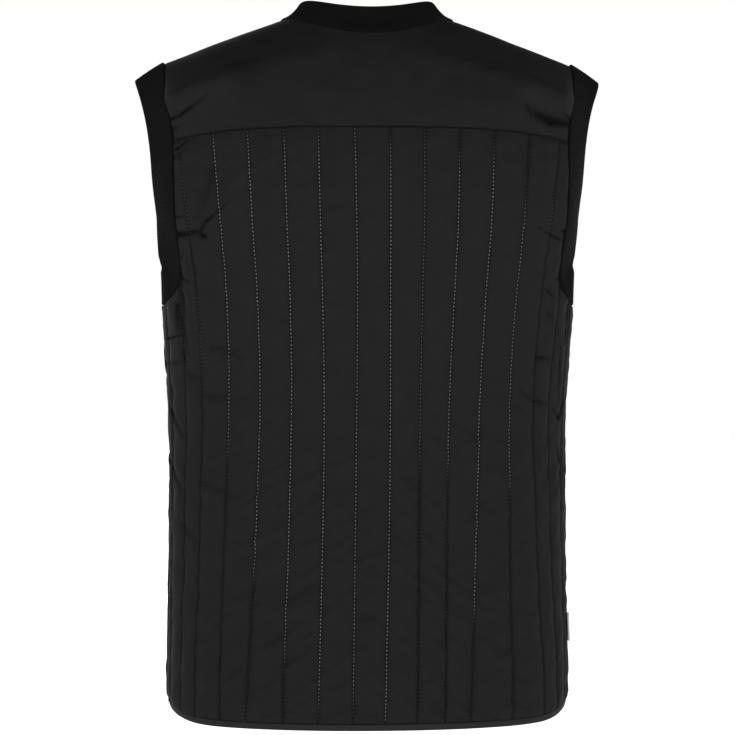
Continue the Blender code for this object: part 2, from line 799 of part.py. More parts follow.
def neck_places(yoke, front):
    """Places round the neck from the left front edge, over the back, to the right front edge."""
    top = front.top_row
    columns = [column for column in front.columns if column <= NECK_CORNER_CHANNEL]
    left = [seam_place(front, (top, column), [(top - 1, column)]) for column in columns]
    row = len(YOKE_ROWS) - 1
    back = [seam_place(yoke, (row, column), [(row - 1, column)]) for column in reversed(yoke.neck_columns)]
    right = [SeamPlace(p.point * MIRROR, p.normal * MIRROR, p.leave * MIRROR) for p in reversed(left)]
    corners = [between(left[-1], back[0]), between(right[0], back[-1])]
    return left[:-1] + [corners[0]] + back[1:-1] + [corners[1]] + right[1:]


def hem_panel(name, side, columns):
    """The narrow band that finishes the lower edge of a panel."""
    panel = Panel(name)
    for column in columns:
        channel = abs(column)
        low = hem_height(side, channel)
        for row, height in enumerate((low, low + HEM_BAND)):
            place = on_side(ring_place(side, channel, height), column)
            panel.add_point((row, column), place, HEM_WALL)
    panel.add_grid(range(2), columns, columns)
    panel.face_out()
    return panel


def label_panel(back):
    """A blank label that leaves the wearer's right side seam and lies on the outside of the back."""
    panel = Panel("side_label")
    chosen = back.columns[:LABEL_COLUMNS]
    for column in chosen:
        line = np.array([back.outside((row, column)) for row in range(back.fork_row + 1)])
        normal = back.normals[1, column]
        for row, height in enumerate((LABEL_LOW, LABEL_HIGH)):
            point = np.array([np.interp(height, line[:, 2], line[:, axis]) for axis in range(3)])
            panel.add_point((row, column), Place(point + normal * LABEL_LIFT, normal), LABEL_WALL)
    panel.add_grid(range(2), chosen, chosen)
    panel.face_out()
    return panel


def zip_path(hem, front, collar):
    """Points up the centre front, with the same rows as the cloth beside them."""
    edge = front.columns[0]
    points = [hem.inside[0, edge]]
    points += [front.inside[row, edge] for row in range(front.top_row + 1)]
    points += [collar.inside[row, 0] for row in range(1, BAND_ROWS + 1)]
    return [np.array((0.0, point[1], point[2])) for point in points]


def path_normals(path):
    """Outward normals of a path that stays on the centre plane."""
    ahead = np.gradient(np.array(path), axis=0)
    return [unit(np.array((0.0, -step[2], step[1]))) for step in ahead]


def zip_tape(name, path, mirror, group, finish):
    """One half of the closed zip: a flat tape behind the front edge and half of its chain."""
    section = (
        (SEAM_GAP / 2, TAPE_BACK),
        (TAPE_HALF, TAPE_BACK),
        (TAPE_HALF, TAPE_FRONT),
        (CHAIN_HALF, TAPE_FRONT),
        (CHAIN_HALF, CHAIN_FRONT),
        (SEAM_GAP / 2, CHAIN_FRONT),
    )
    shape = bmesh.new()
    loops = []
    for point, normal in zip(path, path_normals(path)):
        corners = [point + normal * out + np.array((across * mirror, 0.0, 0.0)) for across, out in section]
        loops.append([shape.verts.new(corner) for corner in corners])
    count = len(section)
    for low, high in zip(loops, loops[1:]):
        for i in range(count):
            shape.faces.new((low[i - 1], low[i], high[i], high[i - 1]))
    shape.faces.new(loops[0])
    shape.faces.new(loops[-1])
    bmesh.ops.recalc_face_normals(shape, faces=shape.faces)
    return object_from(shape, name, group, finish)


def outline_object(name, loops, half_thickness, placing, group, finish):
    """A flat piece from closed outlines, the first its edge and any others its windows."""
    curve = bpy.data.curves.new(name, "CURVE")
    curve.dimensions = "2D"
    curve.fill_mode = "BOTH"
    curve.extrude = half_thickness
    for loop in loops:
        spline = curve.splines.new("POLY")
        spline.points.add(len(loop) - 1)
        for place, (x, y) in zip(spline.points, loop):
            place.co = (x, y, 0.0, 1.0)
        spline.use_cyclic_u = True
    draft = bpy.data.objects.new(name + "_outline", curve)
    group.objects.link(draft)
    bpy.context.view_layer.update()
    shape = bmesh.new()
    evaluated = draft.evaluated_get(bpy.context.evaluated_depsgraph_get())
    mesh = bpy.data.meshes.new_from_object(evaluated)
    shape.from_mesh(mesh)
    bpy.data.objects.remove(draft, do_unlink=True)
    bmesh.ops.remove_doubles(shape, verts=shape.verts, dist=MERGE_DISTANCE)
    bmesh.ops.recalc_face_normals(shape, faces=shape.faces)
    item = object_from(shape, name, group, finish)
    item.matrix_world = placing
    return item


def rounded_end(half_width, length, steps):
    """Half circle at the lower end of a strip, from its right side to its left."""
    turns = [math.pi * step / steps for step in range(steps + 1)]
    return [(half_width * math.cos(t), -length + half_width * (1.0 - math.sin(t))) for t in turns]


def zip_slider(path, parts, helpers, finish):
    """The slider near the collar's top: two plates, the post between them and the bail."""
    line = np.array(path)
    at = line_lengths(line)[-1] - SLIDER_BELOW_TOP
    half = SLIDER_LENGTH / 2
    centre = point_along(line, at)
    up = Vector(unit(point_along(line, at + half) - centre))
    out = Vector((0.0, -up.z, up.y))
    inner_front = CHAIN_FRONT + SEAM_GAP
    inner_back = TAPE_BACK - SEAM_GAP
    outer_front = inner_front + PLATE
    outer_back = inner_back - PLATE
    body_loop = [
        (-half, inner_front),
        (-half, outer_front),
        (half - PLATE, outer_front),
        (half, inner_front - PLATE / 2),
        (half, outer_back),
        (-half, outer_back),
        (-half, inner_back),
        (half - POST, inner_back),
        (half - POST, inner_front),
    ]
    lateral = Vector((1.0, 0.0, 0.0))
    placing = Matrix.Translation(centre) @ Matrix((up, out, lateral)).transposed().to_4x4()
    slider = outline_object("zip_slider", [body_loop], SLIDER_HALF_WIDTH, placing, parts, finish)
    reach = BAIL_LENGTH / 2
    foot = outer_front - PLATE / 2
    under = outer_front + TUNNEL
    over = under + BAIL_WIRE
    shoulder = under - BAIL_WIRE / 2
    bail_loop = [
        (-reach, foot),
        (-reach, shoulder),
        (-reach + BAIL_WIRE, over),
        (reach - BAIL_WIRE, over),
        (reach, shoulder),
        (reach, foot),
        (reach - BAIL_WIRE, foot),
        (reach - BAIL_WIRE, under),
        (-reach + BAIL_WIRE, under),
        (-reach + BAIL_WIRE, foot),
    ]
    bail = outline_object("bail", [bail_loop], BAIL_HALF_WIDTH, placing, helpers, finish)
    bail.hide_render = True
    bail.display_type = "WIRE"
    union = slider.modifiers.new("bail", "BOOLEAN")
    union.operation = "UNION"
    union.object = bail
    hinge = Vector(centre) + out * (outer_front + TUNNEL / 2)
    return hinge, up, out


def zip_pull(hinge, up, out, parts, finish):
    """The pull tab: its top bar turns in the bail and its blade hangs along the zip."""
    end = rounded_end(PULL_HALF_WIDTH, PULL_LENGTH, PULL_END_STEPS)
    top = PULL_BAR / 2
    shoulder = -PULL_WINDOW_LENGTH
    edge = [(PULL_NECK_HALF_WIDTH, top), (PULL_NECK_HALF_WIDTH, shoulder)] + end
    edge += [(-PULL_NECK_HALF_WIDTH, shoulder), (-PULL_NECK_HALF_WIDTH, top)]
    window = [
        (PULL_WINDOW_HALF_WIDTH, -top),
        (PULL_WINDOW_HALF_WIDTH, -PULL_WINDOW_LENGTH),
        (-PULL_WINDOW_HALF_WIDTH, -PULL_WINDOW_LENGTH),
        (-PULL_WINDOW_HALF_WIDTH, -top),
    ]
    lateral = Vector((1.0, 0.0, 0.0))
    placing = Matrix.Translation(hinge) @ Matrix((lateral, up, out)).transposed().to_4x4()
    outline_object("zip_pull", [edge, window], PULL_THICKNESS / 2, placing, parts, finish)


def cut_path(path, short_of_end):
    """The path without its last stretch."""
    line = np.array(path)
    lengths = line_lengths(line)
    stop = lengths[-1] - short_of_end
    kept = [point for point, length in zip(line, lengths) if length < stop - LENGTH_STEP]
    return kept + [point_along(line, stop)]


def build_vest():
    clear_scene()
    parts = make_collection("thermal_vest")
    helpers = make_collection("helpers")

    yoke = yoke_panel()
    back = back_panel()
    front = front_panel()
    twin = front.mirrored("front_right")
    front_hem = hem_panel("hem_front_left", "front", front.columns)
    armhole = square_off(armhole_loop(yoke, back, front), True)
    cuff = band_panel("cuff_left", armhole, cuff_edge_point, CUFF_FLARE, RIB_WALL, True)
    neck = square_off(neck_places(yoke, front), False)
    collar = band_panel("collar", neck, collar_edge_point, COLLAR_FLARE, COLLAR_WALL, False)
    back.press_folds("back")
    front.press_folds("front")
    twin.press_folds("front")

    padded = (yoke, back, front, twin)
    ribbed = (collar, cuff, cuff.mirrored("cuff_right"))
    hems = (
        hem_panel("hem_back", "back", back.columns),
        front_hem,
        front_hem.mirrored("hem_front_right"),
    )
    for panel in padded + hems:
        wall_object(panel, parts, make_material(panel.name + "_satin", SATIN_BLACK, 0.5))
    for panel in ribbed:
        wall_object(panel, parts, make_material(panel.name + "_rib", RIB_BLACK, 0.9))
    wall_object(label_panel(back), parts, make_material("label_weave", LABEL_GREY, 0.8))

    path = zip_path(front_hem, front, collar)
    taped = cut_path(path, SLIDER_BELOW_TOP - SLIDER_LENGTH / 2 + POST + SEAM_GAP)
    for name, mirror in (("zip_tape_left", 1.0), ("zip_tape_right", -1.0)):
        zip_tape(name, taped, mirror, parts, make_material(name + "_weave", SATIN_BLACK, 0.8))
    metal = make_material("slider_metal", DARK_METAL, 0.35, 0.9)
    hinge, up, out = zip_slider(path, parts, helpers, metal)
    zip_pull(hinge, up, out, parts, make_material("pull_metal", DARK_METAL, 0.35, 0.9))


build_vest()
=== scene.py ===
"""Looks of a padded thermal vest: cloth, ribs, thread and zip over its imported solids.

Metres, +Z up. The front faces -Y, the back faces +Y and the wearer's left side is +X.
Every piece of cloth starts from an inside form close to its solid's and is raised in finer steps.
"""

import math
from collections import namedtuple

import bmesh
import bpy
import numpy as np
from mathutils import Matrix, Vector


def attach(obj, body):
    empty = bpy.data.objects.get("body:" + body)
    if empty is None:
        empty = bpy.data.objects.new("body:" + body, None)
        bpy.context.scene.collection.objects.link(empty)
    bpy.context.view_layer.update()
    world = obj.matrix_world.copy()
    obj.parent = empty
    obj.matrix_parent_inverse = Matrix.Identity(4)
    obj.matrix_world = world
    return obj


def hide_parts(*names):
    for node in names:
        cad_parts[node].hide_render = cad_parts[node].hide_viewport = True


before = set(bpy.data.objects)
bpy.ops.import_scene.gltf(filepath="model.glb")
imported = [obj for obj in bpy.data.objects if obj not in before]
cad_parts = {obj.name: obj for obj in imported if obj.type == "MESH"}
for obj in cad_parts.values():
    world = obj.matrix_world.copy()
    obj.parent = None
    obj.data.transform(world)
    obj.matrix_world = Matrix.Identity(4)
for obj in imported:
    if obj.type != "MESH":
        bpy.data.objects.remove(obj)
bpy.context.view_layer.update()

# Cloth thicknesses, and how the cloth rises from its seams
SEAM_GAP = 0.0003
SEAM_TUCK = 0.0008
WALL = 0.0022
QUILT_RISE = 0.0018
CHANNEL_PUFF = 0.0014
CROWN_POWER = 2.4
YOKE_PUFF = 0.0018
EDGE_STEP = 0.0011
EDGE_SLOPE = 0.009
EDGE_STEP_SHARE = 0.8
EDGE_ROOM = 0.0016
EDGE_FIRST_STEP = EDGE_ROOM / 3
THINNEST = 0.0010
RIB_WALL = 0.0026
COLLAR_WALL = 0.003
HEM_WALL = 0.0034
HEM_TUCK = 0.0016
HEM_ROWS = 7
HEM_ROLL_POWER = 4
HEM_EDGE_SHARE = 0.35

# Quilting, counted in channels from the centre line to the side seam
CHANNELS = {"back": 8.5, "front": 9.0}
CHANNEL_PITCH = 0.0308
FRONT_EDGE_CHANNEL = 0.18
SEAM_SETBACK = 0.045

# Heights of seams and edges, and the channels at which they turn
HEM_CENTRE = -0.6727
HEM_SIDE = -0.657
HEM_RISE_CHANNEL = 4.5
HEM_BAND = 0.007
UNDERARM = -0.2635
UNDERARM_POWER = 2.6
FORK = -0.2155
FORK_CHANNEL = 6.25
LAST_STRAIGHT_CHANNEL = 5.5
YOKE_SEAM = -0.0965
YOKE_SEAM_DROP = 0.0108
YOKE_SEAM_POWER = 3.2
YOKE_SEAM_HALF = 0.189

# Neck and shoulders
NECK_HALF = 0.0865
NECK_BACK_Y = 0.068
NECK_FRONT_Y = -0.087
TIP_HALF = 0.2015
TIP_HEIGHT = -0.026
NECK_HEIGHT = 0.0165
NECK_ROUNDING = 0.05
RIDGE_Y = -0.008
SHOULDER_SEAM_Y = -0.020
TIP_SEAM_Y = -0.011
PAST_SHOULDER_TURN = 0.9
DOME_BASE = {"back": -0.17, "front": -0.20}
DOME_POWER = {"back": 2.0, "front": 1.5}
TIP_POWER = {"back": 2.5, "front": 2.2}
DOME_PASSES = 4
NECK_CORNER_CHANNEL = 2.75
TOP_CHANNEL = {"back": 5.8, "front": NECK_CORNER_CHANNEL * TIP_HALF / NECK_HALF}

# Bands of rib knit
Lean = namedtuple("Lean", "inward rise")
COLLAR = {"side": Lean(0.021, 0.020), "back": Lean(0.010, 0.028), "front": Lean(0.010, 0.022)}
COLLAR_FLARE = 0.45
CUFF_WIDTH = 0.034
CUFF_TURN = {"left": math.radians(24.0), "right": math.radians(40.0)}
CUFF_SPREAD = math.radians(18.0)
SPREAD_LOW = -0.190
SPREAD_HIGH = -0.105
CUFF_EASE = {"left": math.radians(28.0), "right": math.radians(16.0)}
EASE_LOW = -0.228
EASE_HIGH = -0.180
CUFF_TOP_TURN = math.radians(8.0)
CUFF_FLARE = 0.4
SEAM_EVENING = 0.020
LEAST_EVENING_POINTS = 3
BAND_ROWS = 10
BAND_EDGE_ROWS = (0.0, 0.02, 0.05)
BAND_FIRST_ROW = 0.09
BAND_EDGE_SHARE = 0.40
RIB_PITCH = 0.0024
RIB_STEPS = 4
RIB_HEIGHT = 0.00032
BAND_ROUNDING = 0.0018
BAND_LIFT = 0.0020

# Zip
CHAIN_FRONT = 0.0012
TAPE_HALF = 0.0125
TAPE_FRONT = -0.0005
TAPE_BACK = -0.0013
TAPE_STEP = 0.004
SLIDER_BELOW_TOP = 0.009
SLIDER_LENGTH = 0.012
POST = 0.0025
TOOTH_PITCH = 0.0026
TOOTH_LENGTH = 0.0031
TOOTH_WIDTH = 0.00165
TOOTH_DEPTH = 0.0022
TOOTH_OVERLAP = 0.0006
TOOTH_NECK = 0.7
TOOTH_BEVEL_STEPS = 2
TOOTH_BEVEL_PROFILE = 0.5
TEETH_SEED = 1
LOW_TEETH_GAP = 0.002
TOP_TEETH_GAP = 0.003
METAL_BEVEL = 0.0003
METAL_BEVEL_STEPS = 3
METAL_BEVEL_ANGLE = math.radians(35.0)
METAL_FLAT_ANGLE = math.radians(1.0)
METAL_MERGE = 0.00001
TapePoint = namedtuple("TapePoint", "side proud")
TAPE_PROFILE = (
    TapePoint(SEAM_GAP / 2, 0.0),
    TapePoint(0.0012, 0.0003),
    TapePoint(0.0019, 0.0006),
    TapePoint(0.0026, 0.0003),
    TapePoint(0.0034, 0.0),
    TapePoint(0.006, 0.0),
    TapePoint(0.009, 0.0),
    TapePoint(TAPE_HALF, 0.0),
)

# Blank label in the side seam, on the wearer's right
LABEL_LOW = -0.5985
LABEL_HIGH = -0.5705
LABEL_LENGTH = 0.0145
LABEL_RISE = 0.004
LABEL_COLUMNS = 18
LABEL_WALL = 0.0009
LABEL_LIFT = 0.0005
LABEL_STEPS = 14

# Quilting relief and thread
GROOVE_DEPTH = 0.0012
GROOVE_HALF = 0.0012
PUCKER_DEPTH = 0.0005
PUCKER_REACH = 0.0045
PUCKER_LENGTH = 0.0085
PUFF_CHANGE = 0.22
PUFF_LENGTH = 0.055
YOKE_WAVE_DEPTH = 0.0006
YOKE_WAVE_LENGTH = 0.030
DRAG_DEPTH = 0.0032
DRAG_POWER = 1.4
DRAG_ACROSS = 0.0062
DRAG_ALONG = 0.026
DRAG_LEAN = math.radians(36.0)
DRAG_LEAST = 0.25
DRAG_LOW = -0.48
DRAG_HIGH = -0.27
DRAG_SIDE = 0.13
DRAG_END = 0.19
CALM_SIDE = 0.85
CRINKLE_DEPTH = 0.0008
CRINKLE_LENGTH = 0.013
CREASE_FADE = 0.002
STITCH_PITCH = 0.0037
STITCH_LENGTH = 0.0020
STITCH_HALF = 0.00042
STITCH_LIFT = 0.0002
STITCH_UNEVENNESS = 0.08
STITCH_SIDES = 6
STITCH_FLATNESS = 0.8
Station = namedtuple("Station", "along lift size")
STITCH_STATIONS = (
    Station(-0.5, -0.9, 0.35),
    Station(-0.34, 0.1, 0.85),
    Station(0.0, 0.5, 1.0),
    Station(0.34, 0.1, 0.85),
    Station(0.5, -0.9, 0.35),
)
THREAD_START = 0.003
THREAD_FADE = 0.05

# Creases, and the painted shade that darkens creases, stitch lines and seams
CREASE_BROAD_SHARE = 0.45
CREASE_SHARPNESS = 2.4
CREASE_TAPER = 0.75
CREASE_LIP = 0.15
CREASE_LIP_PLACE = 2.0
CREASE_SHADE_SHARPNESS = 1.5
CREASE_SHADE_DEPTH = 0.0022
LINE_SHADE = 0.45
LINE_SHADE_HALF = 0.0011
SEAM_SHADE = 0.9
SEAM_SHADE_REACH = 0.0014

# Noise: the size of its field, and the place in it where each relief starts
NOISE_SIZE = (64, 512)
CHANNEL_NOISE_START = 20.0
DRAG_START = 20.0
DRAG_OTHER_START = 47.0
CRINKLE_START = 40.0
YOKE_WAVE_START = 20.0
YOKE_SEED = 31

# Sampling
RING_STEPS = 160
LINE_STEPS = 60
RING_LEVELS = 160
EDGE_SAMPLES = 80
LINE_OFFSETS = (0.0, 0.022, 0.05, 0.095, 0.16, 0.25, 0.37)
SIDE_OFFSETS = (0.0, 0.022, 0.05, 0.085, 0.125, 0.17, 0.22, 0.275, 0.33, 0.39, 0.445)
EDGE_OFFSETS = (0.0, 0.02, 0.045)
SIDE_CHANNEL = 4.0
LEAST_OFFSET = 0.012
UPPER_STEP = {"back": 0.0010, "front": 0.0019}
FINE_STEP = 0.0014
FINE_REACH = 0.12
COARSE_STEP = 0.0028
YOKE_ROWS = 96
YOKE_NECK_CELLS = 96
YOKE_SHOULDER_CELLS = 72
INSIDE_STRIDE = 4
SHARP_ANGLE = math.radians(50.0)

# The photograph's frame: its side in pixels, and the pixels to a metre at the origin's depth
PHOTO_SIDE = 735
PIXELS_PER_METRE = 1000.0
CAMERA_DISTANCE = 2.6
CAMERA_TURN = math.radians(2.6)
CAMERA_HEIGHT = -0.326
SENSOR_WIDTH = 36.0

# Studio
WHITE = (1.0, 1.0, 1.0, 1.0)
FLOOR_HEIGHT = -0.80
FLOOR_RADIUS = 14.0
FLOOR_SIDES = 96
FLOOR_TONE = (0.86, 0.86, 0.86, 1.0)
FLOOR_ROUGHNESS = 0.9
HORIZON_LIGHT = 1.3
OVERHEAD_LIGHT = 0.03
LEVEL_UP_TO = 0.12
DIM_ABOVE = 0.55
FLOOR_GLOW = 0.5
SOFTBOX_SIZE = 2.4
SOFTBOX_TARGET = (0.0, 0.0, -0.33)
Softbox = namedtuple("Softbox", "name place power")
SOFTBOXES = (
    Softbox("key", (-0.9, 3.4, -0.05), 32.0),
    Softbox("fill", (1.6, 3.0, -0.45), 22.0),
    Softbox("front_key", (0.9, -3.2, 0.4), 32.0),
)

# Finishes
Weave = namedtuple("Weave", "dark pale roughness shine sheen pitch relief")
CLOTH_LOOKS = {
    "satin": Weave((0.0092, 0.0092, 0.0095), (0.012, 0.012, 0.0123), 0.78, 0.16, 0.0, 0.0007, 0.1),
    # The yoke's satin: the panels' satin drawn about a tenth lighter, painted light on the yoke
    "plain_satin": Weave((0.0102, 0.0102, 0.0105), (0.0134, 0.0134, 0.0137), 0.78, 0.16, 0.0, 0.0007, 0.1),
    # The hem binding: the satin drawn a little lighter as painted light for its rolled edge, and glossier
    # as its own finish
    "bound_edge": Weave((0.0104, 0.0104, 0.0108), (0.013, 0.013, 0.0134), 0.6, 0.22, 0.0, 0.0007, 0.1),
    "rib_knit": Weave((0.0038, 0.0038, 0.004), (0.0052, 0.0052, 0.0054), 0.9, 0.08, 0.022, 0.0012, 0.5),
    "zip_tape_weave": Weave((0.0045, 0.0045, 0.0048), (0.007, 0.007, 0.0075), 0.8, 0.15, 0.04, 0.0009, 0.6),
    "label_weave": Weave((0.54, 0.54, 0.545), (0.64, 0.64, 0.645), 0.8, 0.3, 0.05, 0.0008, 0.6),
}
HardLook = namedtuple("HardLook", "dark pale roughness metallic")
HARD_LOOKS = {
    "moulded_teeth": HardLook((0.008, 0.008, 0.009), (0.014, 0.014, 0.015), 0.38, 0.0),
    "dark_metal": HardLook((0.025, 0.025, 0.027), (0.06, 0.06, 0.064), 0.34, 0.9),
}
# The thread's colour runs from near-black, painted shade where its groove would hide it, to pale where it
# shows
THREAD_IN_PAINTED_SHADE = (0.007, 0.007, 0.0075)
THREAD_PALE = (0.27, 0.27, 0.28)
THREAD_ROUGHNESS = 0.6
# Painted shade: the near-black tone that creases, stitch lines and seams are darkened towards, with duller
# gloss there
PAINTED_SHADE_TONE = (0.0008, 0.0008, 0.0009, 1.0)
HOLLOW_DULLNESS = 0.4
SHEEN_ROUGHNESS = 0.5
UNEVENNESS_SIZE = 0.02
UNEVENNESS_DETAIL = 3.0
UNEVENNESS_ROUGHNESS = 0.6
DARK_UP_TO = 0.3
PALE_FROM = 0.7
GLOSS_CHANGE = 0.06
WEAVE_HEIGHT = 0.0002
MARK_SCALE = 900.0
MARK_DETAIL = 4.0
MARK_GLOSS_CHANGE = 0.08

# The inside of the cloth, level by level: half width at the sides, depths and roundness powers
Level = namedtuple("Level", "height half_width back_depth back_power front_depth front_power")
LEVELS = (
    Level(-0.69, 0.1945, 0.1195, 2.1, 0.116, 2.1),
    Level(-0.625, 0.196, 0.119, 2.1, 0.117, 2.1),
    Level(-0.565, 0.1945, 0.1155, 2.1, 0.117, 2.1),
    Level(-0.465, 0.1935, 0.1115, 2.1, 0.1175, 2.12),
    Level(-0.365, 0.194, 0.113, 2.15, 0.12, 2.2),
    Level(-0.305, 0.1978, 0.117, 2.3, 0.1225, 2.3),
    Level(-0.2635, 0.2003, 0.12, 2.5, 0.124, 2.4),
    Level(-0.215, 0.205, 0.1225, 2.8, 0.1235, 2.6),
    Level(-0.17, 0.215, 0.1235, 3.1, 0.122, 2.8),
    Level(-0.12, 0.215, 0.1235, 3.1, 0.122, 2.8),
)

# Armhole edges above the fork, where they part from the underarm curve
EdgeLevel = namedtuple("EdgeLevel", "height half_width")
ARMHOLE_EDGE = {
    "back": (
        EdgeLevel(-0.2155, 0.183),
        EdgeLevel(-0.186, 0.1868),
        EdgeLevel(-0.15, 0.1888),
        EdgeLevel(-0.105, 0.19),
        EdgeLevel(-0.08, 0.1933),
        EdgeLevel(-0.05, 0.1982),
        EdgeLevel(-0.026, 0.2015),
    ),
    "front": (
        EdgeLevel(-0.2155, 0.185),
        EdgeLevel(-0.19, 0.1805),
        EdgeLevel(-0.15, 0.1765),
        EdgeLevel(-0.11, 0.1785),
        EdgeLevel(-0.08, 0.184),
        EdgeLevel(-0.05, 0.193),
        EdgeLevel(-0.026, 0.2015),
    ),
}

# How far quilting lines stray from even spacing: to the wearer's left on the back, outward on the fronts
LineShift = namedtuple("LineShift", "channel at_hem at_waist at_fork at_yoke")
WAIST = -0.40
SHIFT_HEIGHTS = (HEM_CENTRE, WAIST, FORK, YOKE_SEAM)
FRONT_SHIFTS = (
    LineShift(0.0, 0.0, 0.0, 0.0, 0.0),
    LineShift(2.5, 0.0055, 0.004, 0.0, 0.0),
    LineShift(4.5, 0.009, 0.006, 0.0, 0.0),
    LineShift(5.5, 0.0085, 0.006, 0.0, 0.0),
    LineShift(6.5, 0.006, 0.004, 0.0, 0.0),
    LineShift(9.0, 0.0, 0.0, 0.0, 0.0),
)
BACK_SHIFTS = (
    LineShift(-8.5, 0.0, 0.0, 0.0, 0.0),
    LineShift(-6.5, -0.018, -0.006, 0.0, 0.0),
    LineShift(-6.25, -0.0196, -0.0077, 0.0, 0.0),
    LineShift(-5.5, -0.0245, -0.0128, -0.0023, -0.0003),
    LineShift(-4.5, -0.011, -0.0114, -0.0042, -0.0027),
    LineShift(-3.5, 0.0063, -0.0061, -0.0029, -0.0014),
    LineShift(-2.5, 0.0026, -0.0032, -0.0022, -0.0007),
    LineShift(-1.5, 0.0009, -0.0033, -0.0015, 0.0),
    LineShift(-0.5, 0.003, -0.0026, -0.001, 0.0),
    LineShift(0.5, 0.005, 0.0019, 0.0, 0.001),
    LineShift(1.5, 0.0094, 0.0048, 0.003, 0.003),
    LineShift(2.5, 0.0151, 0.0089, 0.0033, 0.0028),
    LineShift(3.5, 0.0233, 0.0125, 0.0046, 0.0046),
    LineShift(4.5, 0.024, 0.0173, 0.0043, 0.0043),
    LineShift(5.5, 0.0255, 0.0196, 0.0072, 0.0097),
    LineShift(6.25, 0.0199, 0.0151, 0.0, 0.0),
    LineShift(6.5, 0.018, 0.0136, 0.001, 0.0),
    LineShift(7.5, 0.012, 0.012, 0.003, 0.0),
    LineShift(8.5, 0.0, 0.0, 0.0, 0.0),
)

